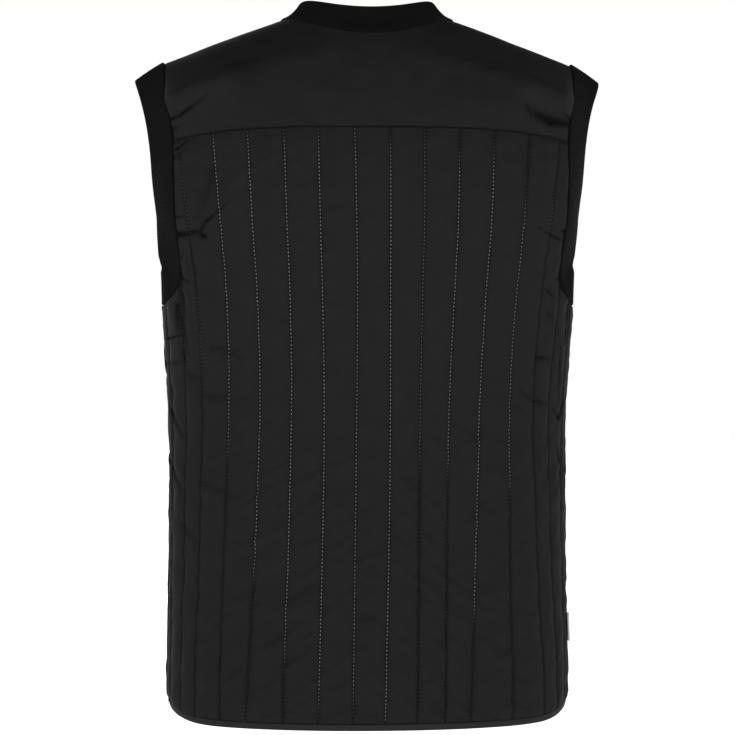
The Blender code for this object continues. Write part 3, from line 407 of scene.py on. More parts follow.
# Creases: troughs, or ridges where the depth is negative, that are deepest where they start
Crease = namedtuple("Crease", "x_from z_from x_to z_to half_width depth")
BACK_CREASES = (
    Crease(0.1897, -0.11, 0.1682, -0.1055, 0.002, 0.0011),
    Crease(0.1878, -0.124, 0.1761, -0.1155, 0.002, 0.001),
    Crease(0.1515, -0.14, 0.1633, -0.18, 0.006, 0.0006),
    Crease(0.1983, -0.322, 0.1761, -0.32, 0.004, 0.001),
    Crease(0.1983, -0.455, 0.1819, -0.478, 0.0048, 0.0007),
    Crease(0.18, -0.48, 0.1653, -0.497, 0.0048, 0.0008),
    Crease(0.1722, -0.332, 0.1604, -0.338, 0.005, 0.0008),
    Crease(0.1505, -0.306, 0.1187, -0.316, 0.0046, 0.0006),
    Crease(0.1623, -0.352, 0.1148, -0.357, 0.0046, 0.0006),
    Crease(0.1623, -0.438, 0.1267, -0.452, 0.0055, 0.0006),
    Crease(0.1028, -0.432, 0.0769, -0.424, 0.0045, -0.0005),
    Crease(0.0689, -0.488, 0.049, -0.47, 0.0045, -0.0005),
    Crease(0.0969, -0.575, 0.0739, -0.56, 0.0045, -0.0007),
    Crease(0.0749, -0.585, 0.053, -0.569, 0.0045, -0.0007),
    Crease(0.1108, -0.648, 0.0769, -0.634, 0.0045, -0.0008),
    Crease(0.0849, -0.648, 0.047, -0.622, 0.0048, -0.0009),
    Crease(0.045, -0.64, 0.021, -0.626, 0.0045, -0.0006),
    Crease(-0.1112, -0.546, -0.1314, -0.566, 0.005, -0.0008),
    Crease(-0.1052, -0.626, -0.1274, -0.633, 0.0045, -0.0007),
    Crease(-0.185, -0.196, -0.1815, -0.256, 0.0032, 0.0014),
    Crease(-0.1885, -0.258, -0.1905, -0.185, 0.0034, -0.0018),
    Crease(-0.1957, -0.42, -0.1781, -0.448, 0.005, 0.0008),
    Crease(-0.1936, -0.1105, -0.1577, -0.1045, 0.0022, 0.0011),
    Crease(0.1875, -0.2225, 0.1805, -0.2195, 0.0018, 0.0012),
    Crease(0.181, -0.2205, 0.1773, -0.21, 0.0016, 0.001),
    Crease(0.183, -0.229, 0.1795, -0.24, 0.0026, 0.0015),
    Crease(0.1893, -0.1803, 0.1755, -0.18, 0.0018, 0.0012),
    Crease(0.18, -0.2385, 0.17, -0.2435, 0.0024, 0.0013),
    Crease(0.1815, -0.244, 0.177, -0.276, 0.003, 0.0018),
    Crease(0.178, -0.247, 0.169, -0.269, 0.0032, -0.0016),
    Crease(0.185, -0.264, 0.1825, -0.2915, 0.0028, 0.0018),
    Crease(0.18, -0.277, 0.1755, -0.304, 0.003, 0.0016),
    Crease(0.1955, -0.2975, 0.178, -0.2935, 0.0018, 0.0018),
    Crease(0.178, -0.308, 0.177, -0.326, 0.0022, 0.0016),
    Crease(0.194, -0.36, 0.1785, -0.394, 0.0026, 0.0018),
    Crease(0.192, -0.418, 0.18, -0.4465, 0.0026, 0.0018),
    Crease(-0.19, -0.1935, -0.18, -0.1925, 0.0022, 0.0026),
    Crease(-0.1795, -0.2008, -0.157, -0.1905, 0.002, 0.0014),
    Crease(-0.188, -0.2375, -0.174, -0.2395, 0.0024, 0.0014),
    Crease(-0.1675, -0.2495, -0.179, -0.262, 0.0024, 0.0011),
    Crease(-0.169, -0.2715, -0.1755, -0.2845, 0.0022, 0.0009),
    Crease(-0.1925, -0.2625, -0.1885, -0.288, 0.003, 0.0018),
    Crease(-0.1895, -0.289, -0.1865, -0.305, 0.003, 0.0016),
    Crease(-0.1745, -0.253, -0.1725, -0.31, 0.0034, -0.0012),
    Crease(0.1875, -0.197, 0.169, -0.1962, 0.004, 0.0036),
    Crease(0.1715, -0.1952, 0.164, -0.1944, 0.0026, 0.0026),
    Crease(0.1591, -0.1998, 0.166, -0.1945, 0.003, 0.0032),
    Crease(0.1623, -0.1934, 0.1579, -0.1862, 0.0024, 0.0018),
    Crease(0.1579, -0.1862, 0.1468, -0.1765, 0.0022, 0.0019),
    Crease(0.1468, -0.1765, 0.1346, -0.1657, 0.0018, 0.0011),
    Crease(0.186, -0.1165, 0.172, -0.1065, 0.0018, 0.002),
    Crease(-0.1585, -0.3155, -0.172, -0.316, 0.0034, 0.0014),
    Crease(-0.1564, -0.359, -0.1407, -0.3477, 0.0024, 0.0011),
    Crease(-0.1582, -0.3585, -0.171, -0.362, 0.0026, 0.0013),
    Crease(-0.182, -0.376, -0.1744, -0.3643, 0.0022, 0.0016),
    Crease(-0.182, -0.376, -0.1925, -0.348, 0.0022, 0.0014),
    Crease(-0.1835, -0.4195, -0.1785, -0.3985, 0.0022, 0.0013),
    Crease(-0.183, -0.4325, -0.1925, -0.4115, 0.0022, 0.0011),
    Crease(-0.183, -0.305, -0.1815, -0.37, 0.003, 0.0012),
)
YOKE_CREASES = (
    Crease(0.186, -0.068, 0.042, -0.022, 0.026, -0.01),
    Crease(-0.18, -0.067, -0.042, -0.024, 0.026, -0.01),
    Crease(0.1914, -0.0985, 0.1806, -0.0925, 0.0022, 0.0011),
    Crease(-0.1991, -0.07, -0.1743, -0.058, 0.006, -0.0011),
    Crease(0.1222, -0.05, 0.0624, -0.04, 0.02, 0.0005),
    Crease(-0.1278, -0.06, -0.0476, -0.045, 0.022, 0.0005),
    Crease(0.19, -0.0872, 0.1816, -0.0846, 0.0022, 0.0024),
    Crease(0.1816, -0.0846, 0.1642, -0.0739, 0.002, 0.0022),
    Crease(0.1642, -0.0739, 0.1545, -0.0677, 0.0018, 0.0012),
    Crease(-0.1719, -0.0889, -0.21, -0.0912, 0.0056, 0.0026),
    Crease(-0.1719, -0.0889, -0.152, -0.081, 0.0064, 0.0028),
    Crease(-0.1925, -0.0858, -0.1813, -0.0812, 0.0018, 0.0018),
    Crease(-0.1515, -0.0805, -0.1456, -0.0715, 0.003, 0.0014),
)
LEFT_CREASES = (
    Crease(0.18, -0.196, 0.148, -0.206, 0.0044, 0.003),
    Crease(0.176, -0.172, 0.15, -0.162, 0.0042, 0.0016),
    Crease(0.196, -0.272, 0.17, -0.334, 0.0034, 0.0013),
    Crease(0.199, -0.33, 0.176, -0.352, 0.003, 0.0009),
    Crease(0.199, -0.402, 0.172, -0.438, 0.0034, 0.001),
    Crease(0.186, -0.088, 0.16, -0.078, 0.0046, 0.0016),
    Crease(0.09, -0.64, 0.06, -0.618, 0.0048, -0.001),
    Crease(0.06, -0.57, 0.034, -0.552, 0.0048, -0.0008),
)
RIGHT_CREASES = (
    Crease(-0.18, -0.188, -0.142, -0.204, 0.0044, 0.003),
    Crease(-0.178, -0.212, -0.158, -0.204, 0.004, 0.0016),
    Crease(-0.198, -0.284, -0.168, -0.33, 0.0034, 0.0013),
    Crease(-0.199, -0.356, -0.178, -0.386, 0.003, 0.0009),
    Crease(-0.188, -0.094, -0.158, -0.086, 0.0048, 0.0018),
    Crease(-0.11, -0.648, -0.076, -0.628, 0.0048, -0.001),
    Crease(-0.052, -0.6, -0.026, -0.588, 0.0048, -0.0008),
)
CREASES = {"back": BACK_CREASES, "yoke": YOKE_CREASES, "left": LEFT_CREASES, "right": RIGHT_CREASES}

# Each quilting line's thread is painted pale at its shade between two heights, top and low; elsewhere it is
# painted dark, as painted shade where its groove would hide it
Thread = namedtuple("Thread", "line top low shade")
BACK_THREADS = (
    Thread(5.5, -0.118, -0.195, 0.28),
    Thread(5.5, -0.265, -0.335, 0.22),
    Thread(4.5, -0.104, -0.4, 1.0),
    Thread(3.5, -0.108, -0.52, 1.0),
    Thread(2.5, -0.108, -0.6, 1.0),
    Thread(1.5, -0.11, -0.64, 1.0),
    Thread(0.5, -0.1, -0.64, 0.8),
    Thread(-0.5, -0.12, -0.67, 1.0),
    Thread(-1.5, -0.11, -0.42, 0.42),
    Thread(-2.5, -0.13, -0.42, 0.95),
    Thread(-3.5, -0.128, -0.56, 1.0),
    Thread(-4.5, -0.172, -0.44, 0.85),
    Thread(-5.5, -0.165, -0.195, 0.35),
)
LEFT_THREADS = (
    Thread(0.5, -0.1, -0.56, 0.9),
    Thread(1.5, -0.09, -0.64, 1.0),
    Thread(2.5, -0.06, -0.52, 0.95),
    Thread(3.5, -0.07, -0.6, 0.8),
    Thread(4.5, -0.08, -0.4, 0.9),
    Thread(5.5, -0.13, -0.3, 0.5),
)
RIGHT_THREADS = (
    Thread(0.5, -0.1, -0.64, 0.95),
    Thread(1.5, -0.09, -0.5, 0.8),
    Thread(2.5, -0.06, -0.61, 1.0),
    Thread(3.5, -0.09, -0.48, 0.9),
    Thread(4.5, -0.08, -0.52, 0.7),
    Thread(5.5, -0.14, -0.32, 0.45),
)
THREADS = {"back": BACK_THREADS, "left": LEFT_THREADS, "right": RIGHT_THREADS}

# The quilted panels: piece, solid, side, whether it is mirrored, and seed of its noise
PanelPlan = namedtuple("PanelPlan", "name node side mirror seed")
PANELS = {
    "back": PanelPlan("back", "back_panel", "back", False, 3),
    "left": PanelPlan("front_left", "front_left", "front", False, 11),
    "right": PanelPlan("front_right", "front_right", "front", True, 23),
}

# Directions and mirroring
FACING = {"back": 1.0, "front": -1.0}
VEST_CENTRE = np.array((0.0, 0.0, -0.35))
MIRROR = np.array((-1.0, 1.0, 1.0))

# Node sockets, by number where several have the same name
GEOMETRY_SOCKET = ("Geometry", "NodeSocketGeometry")
COLOUR_A = 6
COLOUR_B = 7
COLOUR_RESULT = 2
RANDOM_LEAST = 2
RANDOM_MOST = 3
RANDOM_RESULT = 1


def smooth_step(share):
    share = np.clip(share, 0.0, 1.0)
    return share * share * (3.0 - 2.0 * share)


def ramp(value, start, end):
    """Smooth share of the way from one value to another."""
    return smooth_step((value - start) / (end - start))


def bell(distance):
    return np.exp(-(distance**2))


def unit(vectors):
    return vectors / np.linalg.norm(vectors, axis=-1, keepdims=True)


def line_lengths(line):
    steps = np.linalg.norm(np.diff(line, axis=0), axis=1)
    return np.concatenate(([0.0], np.cumsum(steps)))


def smooth_curve(places, values, at):
    """Values at some places, on a smooth curve through the given ones."""
    places = np.asarray(places)
    values = np.asarray(values)
    slopes = np.gradient(values, places)
    at = np.clip(at, places[0], places[-1])
    low = np.clip(np.searchsorted(places, at) - 1, 0, len(places) - 2)
    span = places[low + 1] - places[low]
    t = (at - places[low]) / span
    rise = smooth_step(t)
    leave = t * (1.0 - t) ** 2
    arrive = t * t * (t - 1.0)
    bend = span * (leave * slopes[low] + arrive * slopes[low + 1])
    return values[low] * (1.0 - rise) + values[low + 1] * rise + bend


def smooth_column(table, column, height):
    """One column of a table at the given heights, on a smooth curve through its rows."""
    return smooth_curve([row.height for row in table], [getattr(row, column) for row in table], height)


def level(column, height):
    return smooth_column(LEVELS, column, height)


def half_ring(height):
    """The +X half of one level ring, from centre back to centre front: x, y and arc length."""
    turn = np.linspace(0.0, math.pi / 2, RING_STEPS)
    half_width = level("half_width", height)
    quarters = {}
    for side, facing in FACING.items():
        power = 2.0 / level(side + "_power", height)
        x = half_width * np.sin(turn) ** power
        y = facing * level(side + "_depth", height) * np.cos(turn) ** power
        quarters[side] = np.column_stack((x, y))
    ring = np.vstack((quarters["back"], quarters["front"][-2::-1]))
    return ring[:, 0], ring[:, 1], line_lengths(ring)


RING_HEIGHTS = np.linspace(LEVELS[0].height, FORK + HEM_BAND, RING_LEVELS)
RINGS = [half_ring(height) for height in RING_HEIGHTS]
FORK_RING = half_ring(FORK)


def line_shift(side, column, height):
    """How far a column strays outward from even spacing, at the given heights."""
    table = BACK_SHIFTS if side == "back" else FRONT_SHIFTS
    channels, *strays = zip(*table)
    here = [np.interp(column, channels, stray) for stray in strays]
    return math.copysign(1.0, column) * smooth_curve(SHIFT_HEIGHTS, here, height)


def on_ring(side, channel, ring, shift=0.0):
    """x and y of a channel position, counted from that side's centre line, on one level ring."""
    x, y, arc = ring
    seam = arc[RING_STEPS - 1] * (1.0 - SEAM_SETBACK)
    share = np.asarray(channel) / CHANNELS[side]
    if side == "back":
        at = share * seam + shift
    else:
        at = arc[-1] - share * (arc[-1] - seam) - shift
    return np.interp(at, arc, x), np.interp(at, arc, y)


def ring_line(side, column, heights):
    """Points up one column of a panel, on the level rings at the given heights."""
    shifts = line_shift(side, column, RING_HEIGHTS)
    places = np.array([on_ring(side, abs(column), ring, shift) for ring, shift in zip(RINGS, shifts)])
    x = np.interp(heights, RING_HEIGHTS, places[:, 0])
    y = np.interp(heights, RING_HEIGHTS, places[:, 1])
    return np.column_stack((x, y, heights))


def ring_depth(side, x, height):
    """y of the cloth's inside at x, on one level ring."""
    power = level(side + "_power", height)
    share = np.clip(np.abs(x) / level("half_width", height), 0.0, 1.0)
    return FACING[side] * level(side + "_depth", height) * (1.0 - share**power) ** (1.0 / power)


def hem_height(side, channel):
    share = np.clip((channel - HEM_RISE_CHANNEL) / (CHANNELS[side] - HEM_RISE_CHANNEL), 0.0, 1.0)
    return HEM_CENTRE + (HEM_SIDE - HEM_CENTRE) * share**2


def underarm_height(side, channel):
    """Top of the panel below the armhole, a rounded corner from the fork to the side seam."""
    run = CHANNELS[side] - FORK_CHANNEL
    share = np.clip((CHANNELS[side] - channel) / run, 0.0, 1.0)
    drop = (1.0 - share**UNDERARM_POWER) ** (1.0 / UNDERARM_POWER)
    return UNDERARM + (FORK - UNDERARM) * (1.0 - drop)


def to_underarm(side, channel, heights):
    """Distance along the cloth from points of one column to the underarm edge."""
    places = np.linspace(FORK_CHANNEL, CHANNELS[side], EDGE_SAMPLES)
    edge = np.array([underarm_height(side, place) for place in places])
    return np.hypot((places - channel) * CHANNEL_PITCH, edge - heights[:, None]).min(axis=1)


def ridge_height(x):
    """Height of the shoulder line, rounded where it would cross the neck."""
    neck_run = math.hypot(NECK_HALF, NECK_ROUNDING)
    tip_run = math.hypot(TIP_HALF, NECK_ROUNDING)
    fall = (NECK_HEIGHT - TIP_HEIGHT) / (tip_run - neck_run)
    return NECK_HEIGHT - fall * (np.hypot(x, NECK_ROUNDING) - neck_run)


def above_fork(height):
    return ramp(height, FORK, YOKE_SEAM)


def edge_channel(side, height):
    """Channel position at which the armhole edge cuts the quilting."""
    return FORK_CHANNEL + (TOP_CHANNEL[side] - FORK_CHANNEL) * above_fork(height)


def upper_channel(side, column, height):
    """Channel position of a column: those beyond the last straight one follow the armhole edge."""
    spread = (edge_channel(side, height) - LAST_STRAIGHT_CHANNEL) / (FORK_CHANNEL - LAST_STRAIGHT_CHANNEL)
    beyond = np.maximum(column - LAST_STRAIGHT_CHANNEL, 0.0)
    return np.minimum(column, LAST_STRAIGHT_CHANNEL) + beyond * spread


def column_share(side, column, height):
    """Share of the armhole's half width at which a column runs."""
    channel = upper_channel(side, column, height)
    edge = edge_channel(side, height)
    round_share = on_ring(side, channel, FORK_RING)[0] / on_ring(side, edge, FORK_RING)[0]
    flat_share = channel / edge
    return round_share + (flat_share - round_share) * above_fork(height)


def dome_line(side, share_at, turns):
    """Points over a shoulder, from the level ring (turn 0) to the shoulder line (a quarter turn)."""
    base = DOME_BASE[side]
    height = np.full_like(turns, base)
    for _ in range(DOME_PASSES):
        x = smooth_column(ARMHOLE_EDGE[side], "half_width", height) * share_at(height)
        power = 2.0 / (DOME_POWER[side] + (TIP_POWER[side] - DOME_POWER[side]) * (x / TIP_HALF) ** 2)
        height = base + (ridge_height(x) - base) * np.sin(turns) ** power
    reach = ring_depth(side, x, base) - RIDGE_Y
    y = RIDGE_Y + reach * np.cos(turns) ** power
    return np.column_stack((x, y, height))


def column_line(side, column):
    """Points up one column, from the fork to the shoulder line. The armhole edge doesn't stray."""
    channel = abs(column)
    free = min((FORK_CHANNEL - channel) / (FORK_CHANNEL - LAST_STRAIGHT_CHANNEL), 1.0)

    def share_at(height):
        stray = free * line_shift(side, column, height) / CHANNEL_PITCH
        return column_share(side, channel + stray, height)

    low = np.linspace(FORK, DOME_BASE[side], LINE_STEPS, endpoint=False)
    x = smooth_column(ARMHOLE_EDGE[side], "half_width", low) * share_at(low)
    straight = np.column_stack((x, ring_depth(side, x, low), low))
    dome = dome_line(side, share_at, np.linspace(0.0, math.pi / 2, LINE_STEPS))
    return np.vstack((straight, dome))


def yoke_line(share):
    """Points up the back and a little over the shoulder line, at one share of its half width."""

    def share_at(height):
        return np.full_like(height, share)

    back = dome_line("back", share_at, np.linspace(0.0, math.pi / 2, LINE_STEPS))
    front = dome_line("front", share_at, np.linspace(math.pi / 2, PAST_SHOULDER_TURN, LINE_STEPS)[1:])
    return np.vstack((back, front))


def yoke_seam_height(x):
    return YOKE_SEAM - YOKE_SEAM_DROP * np.abs(x / YOKE_SEAM_HALF) ** YOKE_SEAM_POWER


def top_edge_y(side, x):
    """y at which a panel ends: at the neckline, or at the shoulder seam beyond it."""
    neck_y = {"back": NECK_BACK_Y, "front": NECK_FRONT_Y}[side]
    share = np.clip(np.abs(x) / NECK_HALF, 0.0, 1.0)
    neckline = (neck_y - SHOULDER_SEAM_Y) * np.sqrt(1.0 - share * share)
    along_shoulder = np.clip((np.abs(x) - NECK_HALF) / (TIP_HALF - NECK_HALF), 0.0, 1.0)
    return SHOULDER_SEAM_Y + neckline + (TIP_SEAM_Y - SHOULDER_SEAM_Y) * along_shoulder


def crossing(line, signed):
    """Length along a line at which a value first rises through zero."""
    lengths = line_lengths(line)
    after = int(np.argmax(signed >= 0.0))
    before = after - 1
    share = -signed[before] / (signed[after] - signed[before])
    return lengths[before] + share * (lengths[after] - lengths[before])


def along_line(line, at):
    """Points, or other values, at the given lengths along a line."""
    lengths = line_lengths(line[:, :3])
    return np.column_stack([np.interp(at, lengths, column) for column in line.T])


def soft_noise(across, up, seed):
    """Smooth noise from -1 to 1, with one bump to a unit each way."""
    lattice = np.random.default_rng(seed).uniform(-1.0, 1.0, NOISE_SIZE)
    column = np.floor(across).astype(int)
    row = np.floor(up).astype(int)
    s = smooth_step(across - column)
    t = smooth_step(up - row)
    width, length = NOISE_SIZE
    corner = [lattice[(column + i) % width, (row + j) % length] for i in (0, 1) for j in (0, 1)]
    near = corner[0] * (1.0 - t) + corner[1] * t
    far = corner[2] * (1.0 - t) + corner[3] * t
    return near * (1.0 - s) + far * s


def leaning_wrinkles(across, height, seed):
    """Faint wrinkles that lean to the middle as they rise, stronger low on the garment."""
    out = np.abs(across)
    over = out * math.sin(DRAG_LEAN) + height * math.cos(DRAG_LEAN)
    along = height * math.sin(DRAG_LEAN) - out * math.cos(DRAG_LEAN)
    low = ramp(height, DRAG_HIGH, DRAG_LOW)
    beside = CALM_SIDE * ramp(out, DRAG_SIDE, DRAG_END)
    strength = DRAG_DEPTH * (DRAG_LEAST + (1.0 - DRAG_LEAST) * low) * (1.0 - beside)
    start = np.where(across > 0.0, DRAG_START, DRAG_OTHER_START)
    noise = soft_noise(along / DRAG_ALONG + start, over / DRAG_ACROSS, seed)
    return strength * np.maximum(noise, 0.0) ** DRAG_POWER


def edge_fade(to_edge):
    """How far the cloth has risen from its seams: by a short step, then a long gentle slope."""
    step = 1.0 - bell(to_edge / EDGE_STEP)
    slope = 1.0 - bell(to_edge / EDGE_SLOPE)
    return EDGE_STEP_SHARE * step + (1.0 - EDGE_STEP_SHARE) * slope


def crease_relief(panel, points, to_edge):
    """How far a panel's creases press its outside in at each of its points, and how much painted shade
    darkens them there.
    """
    depth = np.zeros(points.shape[:-1])
    hollow = np.zeros(points.shape[:-1])
    for crease in CREASES[panel]:
        start = np.array((crease.x_from, crease.z_from))
        run = np.array((crease.x_to, crease.z_to)) - start
        offset = points[..., [0, 2]] - start
        share = np.clip(offset @ run / (run @ run), 0.0, 1.0)
        distance = np.linalg.norm(offset - share[..., None] * run, axis=-1) / crease.half_width
        sharp = (1.0 - CREASE_BROAD_SHARE) * bell(CREASE_SHARPNESS * distance)
        fold = CREASE_BROAD_SHARE * bell(distance) + sharp
        trough = fold - CREASE_LIP * bell(distance - CREASE_LIP_PLACE)
        strength = 1.0 - CREASE_TAPER * share**2
        depth += crease.depth * strength * trough
        # Painted shade, darkest along the middle of each crease that presses in
        shade = np.clip(crease.depth / CREASE_SHADE_DEPTH, 0.0, 1.0) * strength
        hollow = np.maximum(hollow, shade * bell(CREASE_SHADE_SHARPNESS * distance))
    return depth * np.clip(to_edge / CREASE_FADE, 0.0, 1.0), hollow


# Painted shade close along each seam
def seam_shade(to_edge):
    return SEAM_SHADE * bell(to_edge / SEAM_SHADE_REACH)


class Cloth:
    """A piece of cloth: a grid of points on its inside, with rows up it and columns across it."""

    def __init__(self, inside, closed=False):
        self.inside = inside
        self.closed = closed
        self.present = ~np.isnan(inside[..., 0])
        self.kept_rows = ()
        self.kept_columns = ()
        self.normals = grid_normals(inside, closed)

    def raised(self, thickness):
        return self.inside + self.normals * thickness[..., None]

    def cut(self):
        """Width, length and area of the flat cut, measured along the cloth."""
        across = np.nansum(np.linalg.norm(np.diff(self.inside, axis=1), axis=2), axis=1)
        up = np.nansum(np.linalg.norm(np.diff(self.inside, axis=0), axis=2), axis=0)
        rows = np.diff(self.inside, axis=0)[:, :-1]
        columns = np.diff(self.inside, axis=1)[:-1]
        area = np.nansum(np.linalg.norm(np.cross(rows, columns), axis=2))
        return float(across.max()), float(up.max()), float(area)

    def texture_places(self):
        """Metres across and up the cloth at each point, with the first column again on a closed band."""
        grid = np.concatenate((self.inside, self.inside[:, :1]), axis=1) if self.closed else self.inside
        filled = np.where(np.isnan(grid), 0.0, grid)
        return np.stack(np.meshgrid(line_lengths(filled[0]), line_lengths(filled[:, 0])), axis=-1)


def grid_normals(grid, closed):
    """Outward normals at each point of a grid. Points are missing beyond some columns' tops."""
    if closed:
        wrapped = np.concatenate((grid[:, -1:], grid, grid[:, :1]), axis=1)
        return plain_normals(wrapped)[:, 1:-1]
    whole = ~np.isnan(grid[-1, :, 0])
    if whole.all():
        return plain_normals(grid)
    fork = int(np.argmax(np.isnan(grid[:, 0 if not whole[0] else -1, 0])))
    normals = np.full_like(grid, np.nan)
    normals[:fork] = plain_normals(grid[:fork])
    normals[fork - 1 :, whole] = plain_normals(grid[:, whole])[fork - 1 :]
    return normals


def plain_normals(grid):
    normals = unit(np.cross(np.gradient(grid, axis=0), np.gradient(grid, axis=1)))
    outward = np.sign(np.sum(normals * (grid - VEST_CENTRE), axis=-1, keepdims=True))
    return normals * outward


def thinned(count, stride, kept):
    return sorted(set(range(0, count, stride)) | {count - 1} | set(kept))


def grid_cells(rows, columns, present):
    """Corner keys of the cells between some rows and columns, where all four corners are present."""
    width = present.shape[1]
    cells = []
    for low, high in zip(rows, rows[1:]):
        for near, far in zip(columns, columns[1:]):
            corners = ((low, near), (low, far), (high, far), (high, near))
            if all(present[row, column % width] for row, column in corners):
                cells.append(corners)
    return cells


def open_edge(cells, width):
    """Next key along the open edge of some cells, for each key on it."""

    def plain(key):
        return key[0], key[1] % width

    edges = {(plain(cell[i - 1]), plain(cell[i])) for cell in cells for i in range(4)}
    return {start: end for start, end in edges if (end, start) not in edges}


def shell_faces(cloth, outside):
    """Faces of a closed wall. A corner is its row, its column and whether it is on the outside."""
    rows, width = outside.shape[:2]
    columns = width + 1 if cloth.closed else width
    coarse_rows = thinned(rows, INSIDE_STRIDE, cloth.kept_rows)
    coarse_columns = thinned(columns, INSIDE_STRIDE, cloth.kept_columns)
    outer_cells = grid_cells(range(rows), range(columns), cloth.present)
    inner_cells = grid_cells(coarse_rows, coarse_columns, cloth.present)
    low, near = outer_cells[0][0]
    corners = [outside[row, column % width] for row, column in outer_cells[0]]
    facing = np.cross(corners[2] - corners[0], corners[3] - corners[1])
    if facing @ cloth.normals[low, near] < 0.0:
        outer_cells = [cell[::-1] for cell in outer_cells]
        inner_cells = [cell[::-1] for cell in inner_cells]
    faces = [[(*key, True) for key in cell] for cell in outer_cells]
    faces += [[(*key, False) for key in reversed(cell)] for cell in inner_cells]
    outer_edge = open_edge(outer_cells, width)
    for start, end in open_edge(inner_cells, width).items():
        chain = [start]
        while chain[-1] != end:
            chain.append(outer_edge[chain[-1]])
        faces.append([(*key, True) for key in reversed(chain)] + [(*start, False), (*end, False)])
    return faces


def shell_object(name, cloth, outside, inside, finish, values=None):
    """A closed wall between a fine outside, with named values at its points, and a coarser inside."""
    width = outside.shape[1]
    faces = shell_faces(cloth, outside)
    keys = [(row, column, True) for row, column in np.argwhere(cloth.present)]
    within = {(row, column % width) for face in faces for row, column, outer in face if not outer}
    keys += [(row, column, False) for row, column in sorted(within)]
    number = {key: index for index, key in enumerate(keys)}
    points = [outside[row, column] if outer else inside[row, column] for row, column, outer in keys]
    loops = [[number[row, column % width, outer] for row, column, outer in face] for face in faces]
    mesh = bpy.data.meshes.new(name)
    mesh.from_pydata(points, [], loops)
    places = cloth.texture_places()
    flat = np.array([places[row, column] for face in faces for row, column, _ in face], np.float32)
    mesh.uv_layers.new(name="cloth").data.foreach_set("uv", flat.ravel())
    for label, grid in (values or {}).items():
        everywhere = np.zeros(len(keys), np.float32)
        everywhere[: cloth.present.sum()] = grid[cloth.present]
        mesh.attributes.new(label, "FLOAT", "POINT").data.foreach_set("value", everywhere)
    return mesh_object(name, mesh, finish)


def mesh_object(name, mesh, finish):
    mesh.materials.clear()
    mesh.materials.append(finish)
    mesh.shade_smooth()
    mesh.set_sharp_from_angle(angle=SHARP_ANGLE)
    item = bpy.data.objects.new(name, mesh)
    bpy.context.scene.collection.objects.link(item)
    return item


def quilt_columns(first, last):
    """Column positions in channels: close together at stitch lines and armholes, and towards the sides."""
    edges = {FORK_CHANNEL - offset for offset in EDGE_OFFSETS}
    outward = {0.0} | edges
    for number in range(math.ceil(last)):
        line = number + 0.5
        offsets = SIDE_OFFSETS if line > SIDE_CHANNEL else LINE_OFFSETS
        beside = {line + sign * offset for offset in (*offsets, 0.5) for sign in (-1.0, 1.0)}
        outward |= {place for place in beside if min(abs(place - edge) for edge in edges) > LEAST_OFFSET}
    regular = sorted(outward | {-column for column in outward})
    return [first] + [c for c in regular if first + LEAST_OFFSET < c < last - LEAST_OFFSET] + [last]


def lower_shares():
    """Rows from the hem to the fork as shares of that height, closer together towards the fork."""
    full = FORK - HEM_CENTRE
    fine = np.arange(EDGE_ROOM, FINE_REACH, FINE_STEP)
    coarse = np.linspace(FINE_REACH, full, round((full - FINE_REACH) / COARSE_STEP))
    down = np.concatenate(((0.0, EDGE_FIRST_STEP), fine, coarse))
    return 1.0 - down[::-1] / full


def even_rows(low, high, count):
    """Even steps between two seams, with short ones beside the upper seam."""
    return np.concatenate((np.linspace(low, high - EDGE_ROOM, count - 2), (high - EDGE_FIRST_STEP, high)))


def past_top(side, line):
    """How far points of a line are past the top of a quilted panel: the yoke, neck or shoulder seam."""
    if side == "back":
        return line[:, 2] - yoke_seam_height(line[:, 0])
    return line[:, 1] - top_edge_y("front", line[:, 0])


